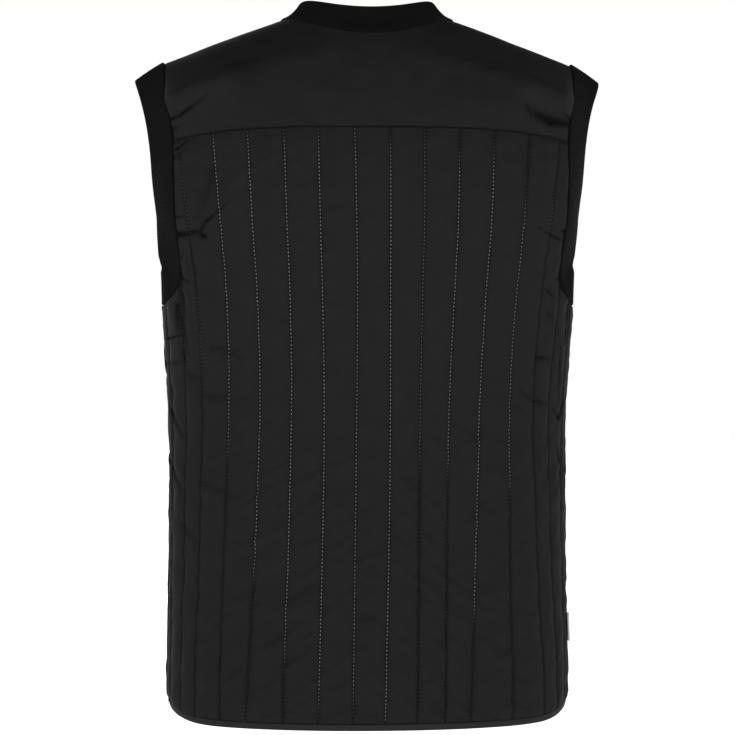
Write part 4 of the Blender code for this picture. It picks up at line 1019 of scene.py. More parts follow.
class QuiltedPanel:
    """A quilted panel: its grid, and at each point its channel position and distance to an edge."""

    def __init__(self, side, mirror):
        self.side = side
        seam = CHANNELS[side] + SEAM_TUCK / CHANNEL_PITCH
        first = {"back": -seam, "front": FRONT_EDGE_CHANNEL}[side]
        top = {"back": YOKE_SEAM, "front": NECK_HEIGHT}[side]
        self.columns = quilt_columns(first, seam)
        self.shares = lower_shares()
        self.fork_row = len(self.shares) - 1
        self.top_row = self.fork_row + round((top - FORK) / UPPER_STEP[side])
        shape = (self.top_row + 1, len(self.columns))
        inside = np.full((*shape, 3), np.nan)
        self.channel = np.zeros(shape)
        self.to_edge = np.zeros(shape)
        for index, column in enumerate(self.columns):
            self.fill_column(inside, index, column)
            if (column < 0.0) != mirror:
                inside[:, index, 0] *= -1.0
        self.cloth = Cloth(inside)
        self.inner = [index for index, column in enumerate(self.columns) if abs(column) <= FORK_CHANNEL]
        self.cloth.kept_rows = (self.fork_row,)
        self.cloth.kept_columns = (self.inner[0], self.inner[-1])

    def fill_column(self, inside, index, column):
        side = self.side
        channel = abs(column)
        fork = self.fork_row
        low = hem_height(side, channel) + HEM_BAND - HEM_TUCK
        high = underarm_height(side, channel)
        heights = low + (high - low) * self.shares
        inside[: fork + 1, index] = ring_line(side, column, heights)
        self.channel[:, index] = channel
        to_edge = self.to_edge[:, index]
        to_edge[: fork + 1] = np.minimum(heights - low, to_underarm(side, channel, heights))
        if channel <= FORK_CHANNEL:
            line = column_line(side, column)
            top = crossing(line, past_top(side, line)) + SEAM_TUCK
            at = even_rows(0.0, top, self.top_row - fork + 1)
            inside[fork:, index] = along_line(line, at)
            height = inside[fork:, index, 2]
            here = upper_channel(side, channel, height)
            self.channel[fork:, index] = here
            to_armhole = (edge_channel(side, height) - here) * CHANNEL_PITCH
            to_edge[fork:] = np.minimum(to_armhole, top - at)
        to_side = (CHANNELS[side] - channel) * CHANNEL_PITCH + SEAM_TUCK
        to_edge[: fork + 1] = np.minimum(to_edge[: fork + 1], to_side)
        if side == "front":
            to_edge[:] = np.minimum(to_edge, (channel - FRONT_EDGE_CHANNEL) * CHANNEL_PITCH)

    def thickness(self, panel, seed):
        """Thickness of the wall, puffed between stitch lines and creased, and the painted shade at each
        place: in creases, along stitch lines and by seams.
        """
        across = 2.0 * np.abs(self.channel % 1.0 - 0.5)
        to_line = across * CHANNEL_PITCH / 2
        fade = edge_fade(self.to_edge)
        height = self.cloth.inside[..., 2]
        signed = np.array(self.columns)[None, :] + np.zeros_like(height)
        height = np.where(np.isnan(height), 0.0, height)
        puff_noise = soft_noise(np.floor(signed + 0.5) + CHANNEL_NOISE_START, height / PUFF_LENGTH, seed)
        puff = 1.0 + PUFF_CHANGE * puff_noise
        crown = 1.0 - (1.0 - across) ** CROWN_POWER
        groove = GROOVE_DEPTH * bell(to_line / GROOVE_HALF)
        pucker = soft_noise(np.floor(signed) + CHANNEL_NOISE_START, height / PUCKER_LENGTH, seed + 1)
        pucker = PUCKER_DEPTH * pucker * bell(to_line / PUCKER_REACH)
        drag = leaning_wrinkles(signed * CHANNEL_PITCH, height, seed + 2)
        across_crinkle = (signed * CHANNEL_PITCH + height / 2) / CRINKLE_LENGTH + CRINKLE_START
        crinkle = CRINKLE_DEPTH * soft_noise(across_crinkle, height / CRINKLE_LENGTH, seed + 3)
        relief = QUILT_RISE + CHANNEL_PUFF * crown * puff - groove + pucker + drag + crinkle
        creases, painted_crease_shade = crease_relief(panel, np.nan_to_num(self.cloth.inside), self.to_edge)
        # Painted shade along the stitch lines, joined with the painted shade of creases and seams
        painted_line_shade = LINE_SHADE * bell(to_line / LINE_SHADE_HALF)
        hollow = 1.0 - (1.0 - painted_crease_shade) * (1.0 - painted_line_shade) * (1.0 - seam_shade(self.to_edge))
        return np.maximum(WALL + relief * fade - creases, THINNEST), hollow


def yoke_cloth():
    """The plain yoke, from the quilted back over the shoulders to the shoulder seams."""
    corner = NECK_HALF / TIP_HALF
    shoulder = even_rows(corner * TIP_HALF, TIP_HALF, YOKE_SHOULDER_CELLS + 1) / TIP_HALF
    neck = -corner * np.cos(np.linspace(0.0, math.pi, YOKE_NECK_CELLS + 1))
    shares = np.concatenate((-shoulder[:0:-1], neck, shoulder[1:]))
    inside = np.zeros((YOKE_ROWS + 1, len(shares), 3))
    to_edge = np.zeros((YOKE_ROWS + 1, len(shares)))
    for index, signed in enumerate(shares):
        line = yoke_line(abs(signed))
        low = crossing(line, past_top("back", line)) - SEAM_TUCK
        top = crossing(line, top_edge_y("back", line[:, 0]) - line[:, 1]) + SEAM_TUCK
        upper = even_rows(low + EDGE_ROOM, top, YOKE_ROWS - 1)
        at = np.concatenate(((low, low + EDGE_FIRST_STEP), upper))
        inside[:, index] = along_line(line, at)
        inside[:, index, 0] *= math.copysign(1.0, signed)
        to_edge[:, index] = np.minimum(np.minimum(at - low, top - at), (1.0 - abs(signed)) * TIP_HALF)
    cloth = Cloth(inside)
    cloth.kept_columns = (YOKE_SHOULDER_CELLS, YOKE_SHOULDER_CELLS + YOKE_NECK_CELLS)
    across = inside[..., 0] / YOKE_WAVE_LENGTH + YOKE_WAVE_START
    wave = soft_noise(across, inside[..., 2] / YOKE_WAVE_LENGTH, YOKE_SEED)
    relief = (YOKE_PUFF + YOKE_WAVE_DEPTH * wave) * edge_fade(to_edge)
    creases, painted_crease_shade = crease_relief("yoke", inside, to_edge)
    thickness = np.maximum(WALL + relief - creases, THINNEST)
    # The yoke's painted shade in its creases and along its seams
    return cloth, thickness, 1.0 - (1.0 - painted_crease_shade) * (1.0 - seam_shade(to_edge))


def seam_run(cloth, keys, away):
    """Points, normals and ways out of the cloth at edge keys. The keys away lie just inside the edge."""
    rows, columns = np.array(keys).T
    inner_rows, inner_columns = np.array(away).T
    points = cloth.inside[rows, columns]
    leave = unit(points - cloth.inside[inner_rows, inner_columns])
    return np.column_stack((points, cloth.normals[rows, columns], leave))


def armhole_seam(yoke, back, front):
    """Points, normals and ways out round the left armhole: down the back, then up the front."""
    last = yoke.inside.shape[1] - 1
    down_yoke = range(YOKE_ROWS, -1, -1)
    runs = [seam_run(yoke, [(r, last) for r in down_yoke], [(r, last - 1) for r in down_yoke])]
    for panel in (back, front):
        side = panel.inner[-1]
        fork = panel.fork_row
        down = range(panel.top_row, fork, -1)
        under = range(side, len(panel.columns))
        edge = [(r, side) for r in down] + [(fork, c) for c in under]
        within = [(r, side - 1) for r in down] + [(fork - 1, c) for c in under]
        run = seam_run(panel.cloth, edge, within)
        runs.append(run if panel is back else run[::-1])
    return np.vstack(runs)


def neck_seam(yoke, front):
    """Points, normals and ways out round the neck: left front edge, over the back, right front edge."""
    top = front.top_row
    reach = [c for c, column in enumerate(front.columns) if column <= NECK_CORNER_CHANNEL]
    left = seam_run(front.cloth, [(top, c) for c in reach], [(top - 1, c) for c in reach])
    over = range(YOKE_SHOULDER_CELLS + YOKE_NECK_CELLS - 1, YOKE_SHOULDER_CELLS, -1)
    back = seam_run(yoke, [(YOKE_ROWS, c) for c in over], [(YOKE_ROWS - 1, c) for c in over])
    right = left[::-1] * np.tile(MIRROR, 3)
    return np.vstack((left, back, right))


def even_seam(seam, count, closed):
    """A seam run at even steps, its normals evened out and its ways out square to the seam."""
    loop = np.vstack((seam, seam[:1])) if closed else seam
    length = line_lengths(loop[:, :3])[-1]
    even = along_line(loop, np.linspace(0.0, length, count, endpoint=not closed))
    spread = max(LEAST_EVENING_POINTS, round(SEAM_EVENING / length * count))
    points = even[:, :3]
    normals = unit(evened(even[:, 3:6], spread, closed))
    along = np.roll(points, -1, axis=0) - np.roll(points, 1, axis=0)
    if not closed:
        along = np.gradient(points, axis=0)
    leave = unit(np.cross(evened(along, spread, closed), normals))
    leave *= np.sign(np.sum(leave * even[:, 6:]))
    return points, normals, leave


def evened(values, spread, closed):
    """Values averaged over some neighbours each way."""
    mode = "wrap" if closed else "edge"
    padded = np.pad(values, ((spread, spread), (0, 0)), mode=mode)
    kernel = np.ones(2 * spread + 1) / (2 * spread + 1)
    return np.column_stack([np.convolve(column, kernel, mode="valid") for column in padded.T])


def cuff_edge(points, normals, leave):
    """The cuff's free edge opposite each place on the armhole seam."""
    side = "left" if points[0, 0] > 0.0 else "right"
    height = points[:, 2]
    spread = CUFF_SPREAD * ramp(height, SPREAD_LOW, SPREAD_HIGH)
    ease = CUFF_EASE[side] * ramp(height, EASE_HIGH, EASE_LOW)
    behind = CUFF_TURN[side] - spread - ease
    turn = np.where(normals[:, 1] > 0.0, behind, CUFF_TURN["left"]) * normals[:, 1] ** 2
    turn = turn + CUFF_TOP_TURN * np.maximum(normals[:, 2], 0.0) ** 2
    return points + CUFF_WIDTH * (leave * np.cos(turn)[:, None] - normals * np.sin(turn)[:, None])


def collar_edge(points, _normals, _leave):
    """The collar's free edge above each place on the neck seam."""
    x, y = points[:, 0], points[:, 1]
    middle = (NECK_BACK_Y + NECK_FRONT_Y) / 2.0
    half_depth = (NECK_BACK_Y - NECK_FRONT_Y) / 2.0
    sideways = np.minimum(1.0, (x / NECK_HALF) ** 2)
    behind = y > middle
    inward = np.where(behind, COLLAR["back"].inward, COLLAR["front"].inward)
    rise = np.where(behind, COLLAR["back"].rise, COLLAR["front"].rise)
    inward = inward + (COLLAR["side"].inward - inward) * sideways
    rise = rise + (COLLAR["side"].rise - rise) * sideways
    towards = unit(np.column_stack((-x / NECK_HALF**2, (middle - y) / half_depth**2, np.zeros_like(x))))
    return points + towards * inward[:, None] + np.column_stack((np.zeros_like(x), np.zeros_like(x), rise))


def rib_band(name, seam, edge_of, flare, wall, closed, finish):
    """A band of rib knit that leaves a seam along the cloth and bends to its own free edge."""
    length = line_lengths(seam[:, :3])[-1]
    ribs = round(length / RIB_PITCH)
    count = ribs * RIB_STEPS if closed else ribs * RIB_STEPS + 1
    points, normals, leave = even_seam(seam, count, closed)
    start = points - leave * SEAM_TUCK
    end = edge_of(points, normals, leave)
    knee = start + leave * np.linalg.norm(end - start, axis=1, keepdims=True) * flare
    middle = np.linspace(BAND_FIRST_ROW, 1.0 - BAND_FIRST_ROW, BAND_ROWS)
    t = np.concatenate((BAND_EDGE_ROWS, middle, 1.0 - np.flip(BAND_EDGE_ROWS)))[:, None, None]
    cloth = Cloth(start * (1 - t) ** 2 + knee * 2 * t * (1 - t) + end * t * t, closed)
    width = np.linalg.norm(end - start, axis=1)
    to_edge = np.minimum(t[..., 0], 1.0 - t[..., 0]) * width
    rounding = np.sqrt(1.0 - np.clip(1.0 - to_edge / BAND_ROUNDING, 0.0, 1.0) ** 2)
    thin = wall * (BAND_EDGE_SHARE + (1.0 - BAND_EDGE_SHARE) * rounding)
    lift = BAND_LIFT * smooth_step(t[..., 0] * width / BAND_ROUNDING) * (1.0 - t[..., 0])
    outside = cloth.raised((wall + thin) / 2 + lift)
    inside = cloth.raised((wall - thin) / 2)
    around = np.broadcast_to(np.linspace(0.0, 1.0, count, endpoint=not closed), to_edge.shape)
    raise_share = np.clip(to_edge / BAND_ROUNDING, 0.0, 1.0)
    values = {"around": around, "raise_share": raise_share}
    item = shell_object(name, cloth, outside, inside, finish, values)
    run_tree(item, ribbing_tree(), {"Rib Count": float(ribs), "Rib Height": RIB_HEIGHT, "Finish": finish})
    return item, cloth


def hem_object(name, panel, mirror, finish):
    """The narrow bound edge below a panel, rolled over at its lower side."""
    steps = np.linspace(0.0, 1.0, HEM_ROWS)
    columns = panel.columns[:: INSIDE_STRIDE // 2]
    if columns[-1] != panel.columns[-1]:
        columns = columns + panel.columns[-1:]
    inside = np.zeros((len(steps), len(columns), 3))
    for index, column in enumerate(columns):
        low = hem_height(panel.side, abs(column))
        inside[:, index] = ring_line(panel.side, column, low + HEM_BAND * steps)
        if (column < 0.0) != mirror:
            inside[:, index, 0] *= -1.0
    cloth = Cloth(inside)
    roll = np.sqrt(1.0 - (2.0 * np.abs(steps - 0.5)) ** HEM_ROLL_POWER)
    thin = HEM_WALL * (HEM_EDGE_SHARE + (1.0 - HEM_EDGE_SHARE) * roll)[:, None] + np.zeros(inside.shape[:2])
    outside = cloth.raised((HEM_WALL + thin) / 2)
    lining = cloth.raised((HEM_WALL - thin) / 2)
    return shell_object(name, cloth, outside, lining, finish), cloth


def level_line(panel, columns, height):
    """Points of some columns of a panel's inside, and their outward directions, at one height."""
    rows = slice(0, panel.fork_row + 1)
    found = []
    for column in columns:
        values = np.column_stack((panel.cloth.inside[rows, column], panel.cloth.normals[rows, column]))
        found.append([np.interp(height, values[:, 2], axis) for axis in values.T])
    return np.array(found)


def label_object(back, outside, finish):
    """A blank label that leaves the wearer's right side seam and lies on the back."""
    heights = np.linspace(LABEL_LOW, LABEL_HIGH, 2 * LABEL_STEPS + 1)
    across = np.linspace(SEAM_TUCK, SEAM_TUCK + LABEL_LENGTH, LABEL_STEPS + 1)
    inside = np.zeros((len(heights), len(across), 3))
    thickness = np.linalg.norm(outside - back.cloth.inside, axis=2)[:, :LABEL_COLUMNS]
    from_label = np.abs(back.cloth.inside[:, :LABEL_COLUMNS, 2] - (LABEL_LOW + LABEL_HIGH) / 2)
    beside = from_label < LABEL_HIGH - LABEL_LOW
    crown = thickness[beside].max() + LABEL_LIFT
    for row, height in enumerate(heights):
        line = level_line(back, range(LABEL_COLUMNS), height)
        out = smooth_step(line_lengths(line[:, :3]) / LABEL_RISE)
        lifted = line[:, :3] + unit(line[:, 3:]) * (WALL + (crown - WALL) * out)[:, None]
        inside[row] = along_line(lifted, across)
    cloth = Cloth(inside)
    wall = np.full(inside.shape[:2], LABEL_WALL)
    return shell_object("label_tab", cloth, cloth.raised(wall), inside, finish), cloth


def zip_path(hem, front, collar):
    """Points up the centre front, with the same rows as the cloth beside them."""
    points = np.vstack((hem.inside[:-2, 0], front.cloth.inside[:, 0], collar.inside[1:, 0]))
    points[:, 0] = 0.0
    return points


def path_out(path):
    """Outward directions of a path that stays on the centre plane."""
    step = np.gradient(path, axis=0)
    return unit(np.column_stack((np.zeros(len(path)), -step[:, 2], step[:, 1])))


def zip_tape(name, path, mirror, finish):
    """One woven tape behind the front edge, with the raised cord that carries the teeth."""
    sides, proud = np.array(TAPE_PROFILE).T
    out = path_out(path)
    back = path[:, None] + out[:, None] * TAPE_BACK + np.outer(sides * mirror, (1.0, 0.0, 0.0))
    cloth = Cloth(back)
    wall = TAPE_FRONT - TAPE_BACK + proud + np.zeros(back.shape[:2])
    return shell_object(name, cloth, cloth.raised(wall), back, finish), cloth


def piece_from(name, shape):
    """A smooth helper object for repeated pieces. It is removed when they are made."""
    for face in shape.faces:
        face.smooth = True
    mesh = bpy.data.meshes.new(name)
    shape.to_mesh(mesh)
    shape.free()
    return bpy.data.objects.new(name, mesh)


def stitch_piece():
    """One visible length of thread: thick in the middle, with both ends dipping into the cloth."""
    shape = bmesh.new()
    rings = []
    for station in STITCH_STATIONS:
        ring = []
        for corner in range(STITCH_SIDES):
            turn = math.tau * corner / STITCH_SIDES
            side = math.cos(turn) * station.size * STITCH_HALF
            up = (math.sin(turn) * station.size * STITCH_FLATNESS + station.lift) * STITCH_HALF
            ring.append(shape.verts.new((station.along * STITCH_LENGTH, side, up)))
        rings.append(ring)
    for near, far in zip(rings, rings[1:]):
        for corner in range(STITCH_SIDES):
            shape.faces.new((near[corner - 1], near[corner], far[corner], far[corner - 1]))
    shape.faces.new(rings[0])
    shape.faces.new(rings[-1])
    bmesh.ops.recalc_face_normals(shape, faces=shape.faces)
    return piece_from("stitch", shape)


def tooth_piece():
    """One moulded zip tooth: a rounded block with a wider head."""
    shape = bmesh.new()
    bmesh.ops.create_cube(shape, size=1.0)
    bmesh.ops.scale(shape, vec=(TOOTH_WIDTH, TOOTH_LENGTH, TOOTH_DEPTH), verts=shape.verts)
    for corner in shape.verts:
        if corner.co.y < 0.0:
            corner.co.x *= TOOTH_NECK
    bmesh.ops.bevel(
        shape,
        geom=shape.edges,
        offset=METAL_BEVEL,
        segments=TOOTH_BEVEL_STEPS,
        affect="EDGES",
        profile=TOOTH_BEVEL_PROFILE,
    )
    return piece_from("tooth", shape)


def new_tree(name, kind, inputs, outputs):
    """A node tree with its named inputs and outputs, given as pairs of a name and a kind of socket."""
    tree = bpy.data.node_groups.new(name, kind)
    for way, sockets in (("INPUT", inputs), ("OUTPUT", outputs)):
        for label, socket_kind in sockets:
            tree.interface.new_socket(label, in_out=way, socket_type=socket_kind)
    return tree


def set_inputs(tree, node, values):
    """Link a node's inputs from other sockets, or set them to plain values."""
    for label, source in values.items():
        if isinstance(source, bpy.types.NodeSocket):
            tree.links.new(source, node.inputs[label])
        else:
            node.inputs[label].default_value = source


def add_node(tree, kind, values=None, **settings):
    """A node with its settings made and its inputs linked or set."""
    node = tree.nodes.new(kind)
    for label, value in settings.items():
        setattr(node, label, value)
    set_inputs(tree, node, values or {})
    return node


def math_node(tree, operation, *values):
    """The result of one sum on sockets or plain values."""
    return add_node(tree, "ShaderNodeMath", dict(enumerate(values)), operation=operation).outputs[0]


def named_value(tree, label, kind):
    node = add_node(tree, "GeometryNodeInputNamedAttribute", {"Name": label}, data_type=kind)
    return node.outputs["Attribute"]


def finish_tree(tree, geometry, finish):
    """Close a geometry tree: real meshes, one material, then out."""
    real = add_node(tree, "GeometryNodeRealizeInstances", {"Geometry": geometry})
    dressed = add_node(tree, "GeometryNodeSetMaterial", {"Geometry": real.outputs[0], "Material": finish})
    add_node(tree, "NodeGroupOutput", {"Geometry": dressed.outputs[0]})


def ribbing_tree():
    """Raises ribs across a band, by a wave round its length."""
    if "ribbing" in bpy.data.node_groups:
        return bpy.data.node_groups["ribbing"]
    inputs = (
        GEOMETRY_SOCKET,
        ("Rib Count", "NodeSocketFloat"),
        ("Rib Height", "NodeSocketFloat"),
        ("Finish", "NodeSocketMaterial"),
    )
    tree = new_tree("ribbing", "GeometryNodeTree", inputs, (GEOMETRY_SOCKET,))
    given = add_node(tree, "NodeGroupInput").outputs
    turns = math_node(tree, "MULTIPLY", named_value(tree, "around", "FLOAT"), given["Rib Count"])
    wave = math_node(tree, "COSINE", math_node(tree, "MULTIPLY", turns, math.tau))
    height = math_node(tree, "MULTIPLY", wave, given["Rib Height"])
    faded = math_node(tree, "MULTIPLY", height, named_value(tree, "raise_share", "FLOAT"))
    normal = add_node(tree, "GeometryNodeInputNormal").outputs["Normal"]
    offset = add_node(tree, "ShaderNodeVectorMath", {0: normal, "Scale": faded}, operation="SCALE")
    moving = {"Geometry": given["Geometry"], "Offset": offset.outputs[0]}
    moved = add_node(tree, "GeometryNodeSetPosition", moving)
    finish_tree(tree, moved.outputs[0], given["Finish"])
    return tree


def row_tree():
    """Sets copies of one piece along lines, lengthwise and standing out of the cloth."""
    if "row_of_pieces" in bpy.data.node_groups:
        return bpy.data.node_groups["row_of_pieces"]
    inputs = (
        GEOMETRY_SOCKET,
        ("Piece", "NodeSocketObject"),
        ("Pitch", "NodeSocketFloat"),
        ("Unevenness", "NodeSocketFloat"),
        ("Seed", "NodeSocketInt"),
        ("Finish", "NodeSocketMaterial"),
    )
    tree = new_tree("row_of_pieces", "GeometryNodeTree", inputs, (GEOMETRY_SOCKET,))
    given = add_node(tree, "NodeGroupInput").outputs
    curve = add_node(tree, "GeometryNodeMeshToCurve", {"Mesh": given["Geometry"]}).outputs[0]
    spacing = {"Curve": curve, "Length": given["Pitch"]}
    spaced = add_node(tree, "GeometryNodeResampleCurve", spacing, mode="LENGTH")
    piece = add_node(tree, "GeometryNodeObjectInfo", {"Object": given["Piece"], "As Instance": True})
    tangent = add_node(tree, "GeometryNodeInputTangent").outputs[0]
    ahead = add_node(tree, "FunctionNodeAlignRotationToVector", {"Vector": tangent}, axis="X").outputs[0]
    turning = {"Rotation": ahead, "Vector": named_value(tree, "out", "FLOAT_VECTOR")}
    upright = add_node(tree, "FunctionNodeAlignRotationToVector", turning, axis="Z", pivot_axis="X")
    least = math_node(tree, "SUBTRACT", 1.0, given["Unevenness"])
    most = math_node(tree, "ADD", 1.0, given["Unevenness"])
    sizes = {RANDOM_LEAST: least, RANDOM_MOST: most, "Seed": given["Seed"]}
    size = add_node(tree, "FunctionNodeRandomValue", sizes, data_type="FLOAT")
    placing = {
        "Points": spaced.outputs[0],
        "Instance": piece.outputs["Geometry"],
        "Rotation": upright.outputs[0],
        "Scale": size.outputs[RANDOM_RESULT],
    }
    set_out = add_node(tree, "GeometryNodeInstanceOnPoints", placing)
    finish_tree(tree, set_out.outputs[0], given["Finish"])
    return tree


def keep_result(item, modifier):
    """Keep what a modifier makes as the object's plain mesh."""
    graph = bpy.context.evaluated_depsgraph_get()
    made = bpy.data.meshes.new_from_object(item.evaluated_get(graph))
    item.modifiers.remove(modifier)
    item.data = made
    return item


def run_tree(item, tree, values):
    """Run a geometry tree on an object, with its named inputs set."""
    modifier = item.modifiers.new(tree.name, "NODES")
    modifier.node_group = tree
    for socket in tree.interface.items_tree:
        if socket.in_out == "INPUT" and socket.name in values:
            modifier[socket.identifier] = values[socket.name]
    return keep_result(item, modifier)


def row_object(name, lines, piece, pitch, unevenness, seed, finish):
    """Pieces along lines. A line's columns are its points, its outward directions and its shades."""
    points = np.vstack([line[:, :3] for line in lines])
    ends = np.cumsum([len(line) for line in lines])
    edges = [(index, index + 1) for index in range(len(points) - 1) if index + 1 not in ends]
    mesh = bpy.data.meshes.new(name)
    mesh.from_pydata(points.tolist(), edges, [])
    out = np.vstack([line[:, 3:6] for line in lines]).astype(np.float32)
    shade = np.concatenate([line[:, 6] for line in lines]).astype(np.float32)
    mesh.attributes.new("out", "FLOAT_VECTOR", "POINT").data.foreach_set("vector", out.ravel())
    mesh.attributes.new("shade", "FLOAT", "POINT").data.foreach_set("value", shade)
    item = bpy.data.objects.new(name, mesh)
    bpy.context.scene.collection.objects.link(item)
    values = {"Piece": piece, "Pitch": pitch, "Unevenness": unevenness, "Seed": seed, "Finish": finish}
    return run_tree(item, row_tree(), values)


def thread_shade(panel, line, height):
    """How pale the thread of one quilting line is painted, at the given heights; where this is low, the
    thread carries painted shade.
    """
    shade = np.zeros_like(height)
    for thread in THREADS[panel]:
        if thread.line == line:
            below_top = smooth_step((thread.top + THREAD_FADE / 2 - height) / THREAD_FADE)
            above_low = smooth_step((height - thread.low + THREAD_FADE / 2) / THREAD_FADE)
            shade += thread.shade * below_top * above_low
    return shade


def thread_lines(panel, label, outside):
    """The quilting lines of a panel on its outside: points, outward directions and shades."""
    lines = []
    for index, column in enumerate(panel.columns):
        if abs(column) % 1.0 != 0.5:
            continue
        here = panel.cloth.present[:, index] & (panel.to_edge[:, index] > THREAD_START)
        normals = panel.cloth.normals[here, index]
        points = outside[here, index] + normals * STITCH_LIFT
        shade = thread_shade(label, column, points[:, 2])
        lines.append(np.column_stack((points, normals, shade)))
    return lines


def tooth_lines(path, mirror):
    """The line that one side's zip teeth stand on."""
    out = path_out(path)
    middle = TOOTH_LENGTH / 2 - TOOTH_OVERLAP
    points = path + np.array((mirror * middle, 0.0, 0.0)) + out * (CHAIN_FRONT - TOOTH_DEPTH / 2)
    return [np.column_stack((points, out, np.ones(len(points))))]


def metal_copy(name, node, finish):
    """A finer copy of a hard solid, with its edges rounded."""
    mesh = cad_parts[node].data.copy()
    mesh.name = name
    shape = bmesh.new()
    shape.from_mesh(mesh)
    bmesh.ops.remove_doubles(shape, verts=shape.verts, dist=METAL_MERGE)
    bmesh.ops.dissolve_limit(shape, angle_limit=METAL_FLAT_ANGLE, verts=shape.verts, edges=shape.edges)
    shape.to_mesh(mesh)
    shape.free()
    item = mesh_object(name, mesh, finish)
    bevel = item.modifiers.new("rounding", "BEVEL")
    bevel.width = METAL_BEVEL
    bevel.segments = METAL_BEVEL_STEPS
    bevel.limit_method = "ANGLE"
    bevel.angle_limit = METAL_BEVEL_ANGLE
    return keep_result(item, bevel)


def weave_group():
    """Threads crossing at right angles and slow changes of tone, in metres across and up the cloth."""
    inputs = (("Thread Pitch", "NodeSocketFloat"), ("Unevenness Size", "NodeSocketFloat"))
    outputs = (("Height", "NodeSocketFloat"), ("Unevenness", "NodeSocketFloat"))
    tree = new_tree("cloth_weave", "ShaderNodeTree", inputs, outputs)
    given = add_node(tree, "NodeGroupInput").outputs
    place = add_node(tree, "ShaderNodeUVMap", uv_map="cloth").outputs[0]
    split = add_node(tree, "ShaderNodeSeparateXYZ", {0: place})
    waves = []
    for axis in ("X", "Y"):
        steps = math_node(tree, "DIVIDE", split.outputs[axis], given["Thread Pitch"])
        wave = math_node(tree, "SINE", math_node(tree, "MULTIPLY", steps, math.pi))
        waves.append(math_node(tree, "ABSOLUTE", wave))
    unevenness = {
        "Vector": place,
        "Scale": math_node(tree, "DIVIDE", 1.0, given["Unevenness Size"]),
        "Detail": UNEVENNESS_DETAIL,
        "Roughness": UNEVENNESS_ROUGHNESS,
    }
    noise = add_node(tree, "ShaderNodeTexNoise", unevenness)
    height = math_node(tree, "MULTIPLY", *waves)
    add_node(tree, "NodeGroupOutput", {"Height": height, "Unevenness": noise.outputs[0]})
    return tree


def plain_finish(name, roughness):
    """A material with its own shader, ready for nodes."""
    finish = bpy.data.materials.new(name)
    finish.use_nodes = True
    shader = finish.node_tree.nodes["Principled BSDF"]
    shader.inputs["Roughness"].default_value = roughness
    return finish, finish.node_tree, shader


def two_tones(tree, share, dark, pale, dark_up_to=0.0, pale_from=1.0):
    """A colour between two tones, by a value."""
    node = add_node(tree, "ShaderNodeValToRGB", {0: share})
    stops = node.color_ramp.elements
    for stop, place, tone in zip(stops, (dark_up_to, pale_from), (dark, pale)):
        stop.position = place
        stop.color = (*tone, 1.0)
    return node.outputs[0]


def uneven_gloss(tree, share, roughness, change):
    """A roughness that strays both ways from its middle, by a value."""
    limits = {"Value": share, "To Min": roughness - change, "To Max": roughness + change}
    return add_node(tree, "ShaderNodeMapRange", limits).outputs[0]


def cloth_finish(name, weave, look):
    """Woven cloth: two near tones, an uneven gloss, a fine weave, and painted shade that darkens and dulls
    creases, stitch lines and seams.
    """
    finish, tree, shader = plain_finish(name, look.roughness)
    sizes = {"Thread Pitch": look.pitch, "Unevenness Size": UNEVENNESS_SIZE}
    cloth = add_node(tree, "ShaderNodeGroup", node_tree=weave)
    set_inputs(tree, cloth, sizes)
    unevenness = cloth.outputs["Unevenness"]
    tone = two_tones(tree, unevenness, look.dark, look.pale, DARK_UP_TO, PALE_FROM)
    gloss = uneven_gloss(tree, unevenness, look.roughness, GLOSS_CHANGE)
    raised = {"Strength": look.relief, "Distance": WEAVE_HEIGHT, "Height": cloth.outputs["Height"]}
    # Painted shade: the mask darkens the tone towards near-black and dulls the gloss
    hollow = add_node(tree, "ShaderNodeAttribute", attribute_name="hollow").outputs["Fac"]
    mixed = {0: hollow, COLOUR_A: tone, COLOUR_B: PAINTED_SHADE_TONE}
    shaded = add_node(tree, "ShaderNodeMix", mixed, data_type="RGBA")
    surface = {
        "Base Color": shaded.outputs[COLOUR_RESULT],
        "Roughness": math_node(tree, "MULTIPLY_ADD", hollow, HOLLOW_DULLNESS, gloss),
        "Normal": add_node(tree, "ShaderNodeBump", raised).outputs[0],
        "Specular IOR Level": look.shine,
        "Sheen Weight": look.sheen,
        "Sheen Roughness": SHEEN_ROUGHNESS,
    }
    set_inputs(tree, shader, surface)
    return finish


def thread_finish():
    """Quilting thread painted pale, and near-black as painted shade where it would sink into its groove."""
    finish, tree, shader = plain_finish("quilting_thread", THREAD_ROUGHNESS)
    shade = add_node(tree, "ShaderNodeAttribute", attribute_name="shade").outputs["Fac"]
    set_inputs(tree, shader, {"Base Color": two_tones(tree, shade, THREAD_IN_PAINTED_SHADE, THREAD_PALE)})
    return finish


def hard_finish(name, look):
    """Moulded or cast material with faint handling marks."""
    finish, tree, shader = plain_finish(name, look.roughness)
    place = add_node(tree, "ShaderNodeTexCoord").outputs["Object"]
    marks = {"Vector": place, "Scale": MARK_SCALE, "Detail": MARK_DETAIL}
    noise = add_node(tree, "ShaderNodeTexNoise", marks).outputs[0]
    surface = {
        "Base Color": two_tones(tree, noise, look.dark, look.pale),
        "Roughness": uneven_gloss(tree, noise, look.roughness, MARK_GLOSS_CHANGE),
        "Metallic": look.metallic,
    }
    set_inputs(tree, shader, surface)
    return finish


def add_to_vest(item, nodes=(), body="vest"):
    """Let a piece ride on its body and stand for its solids."""
    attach(item, body)
    if nodes:
        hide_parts(*nodes)
    return item


def declare_sheet(cloth, turned=0.0):
    """Work out the flat cut of a piece of cloth, with any length turned under at its edge. The result is
    not kept.
    """
    width, length, area = cloth.cut()
    area = min(area + width * turned, width * (length + turned))


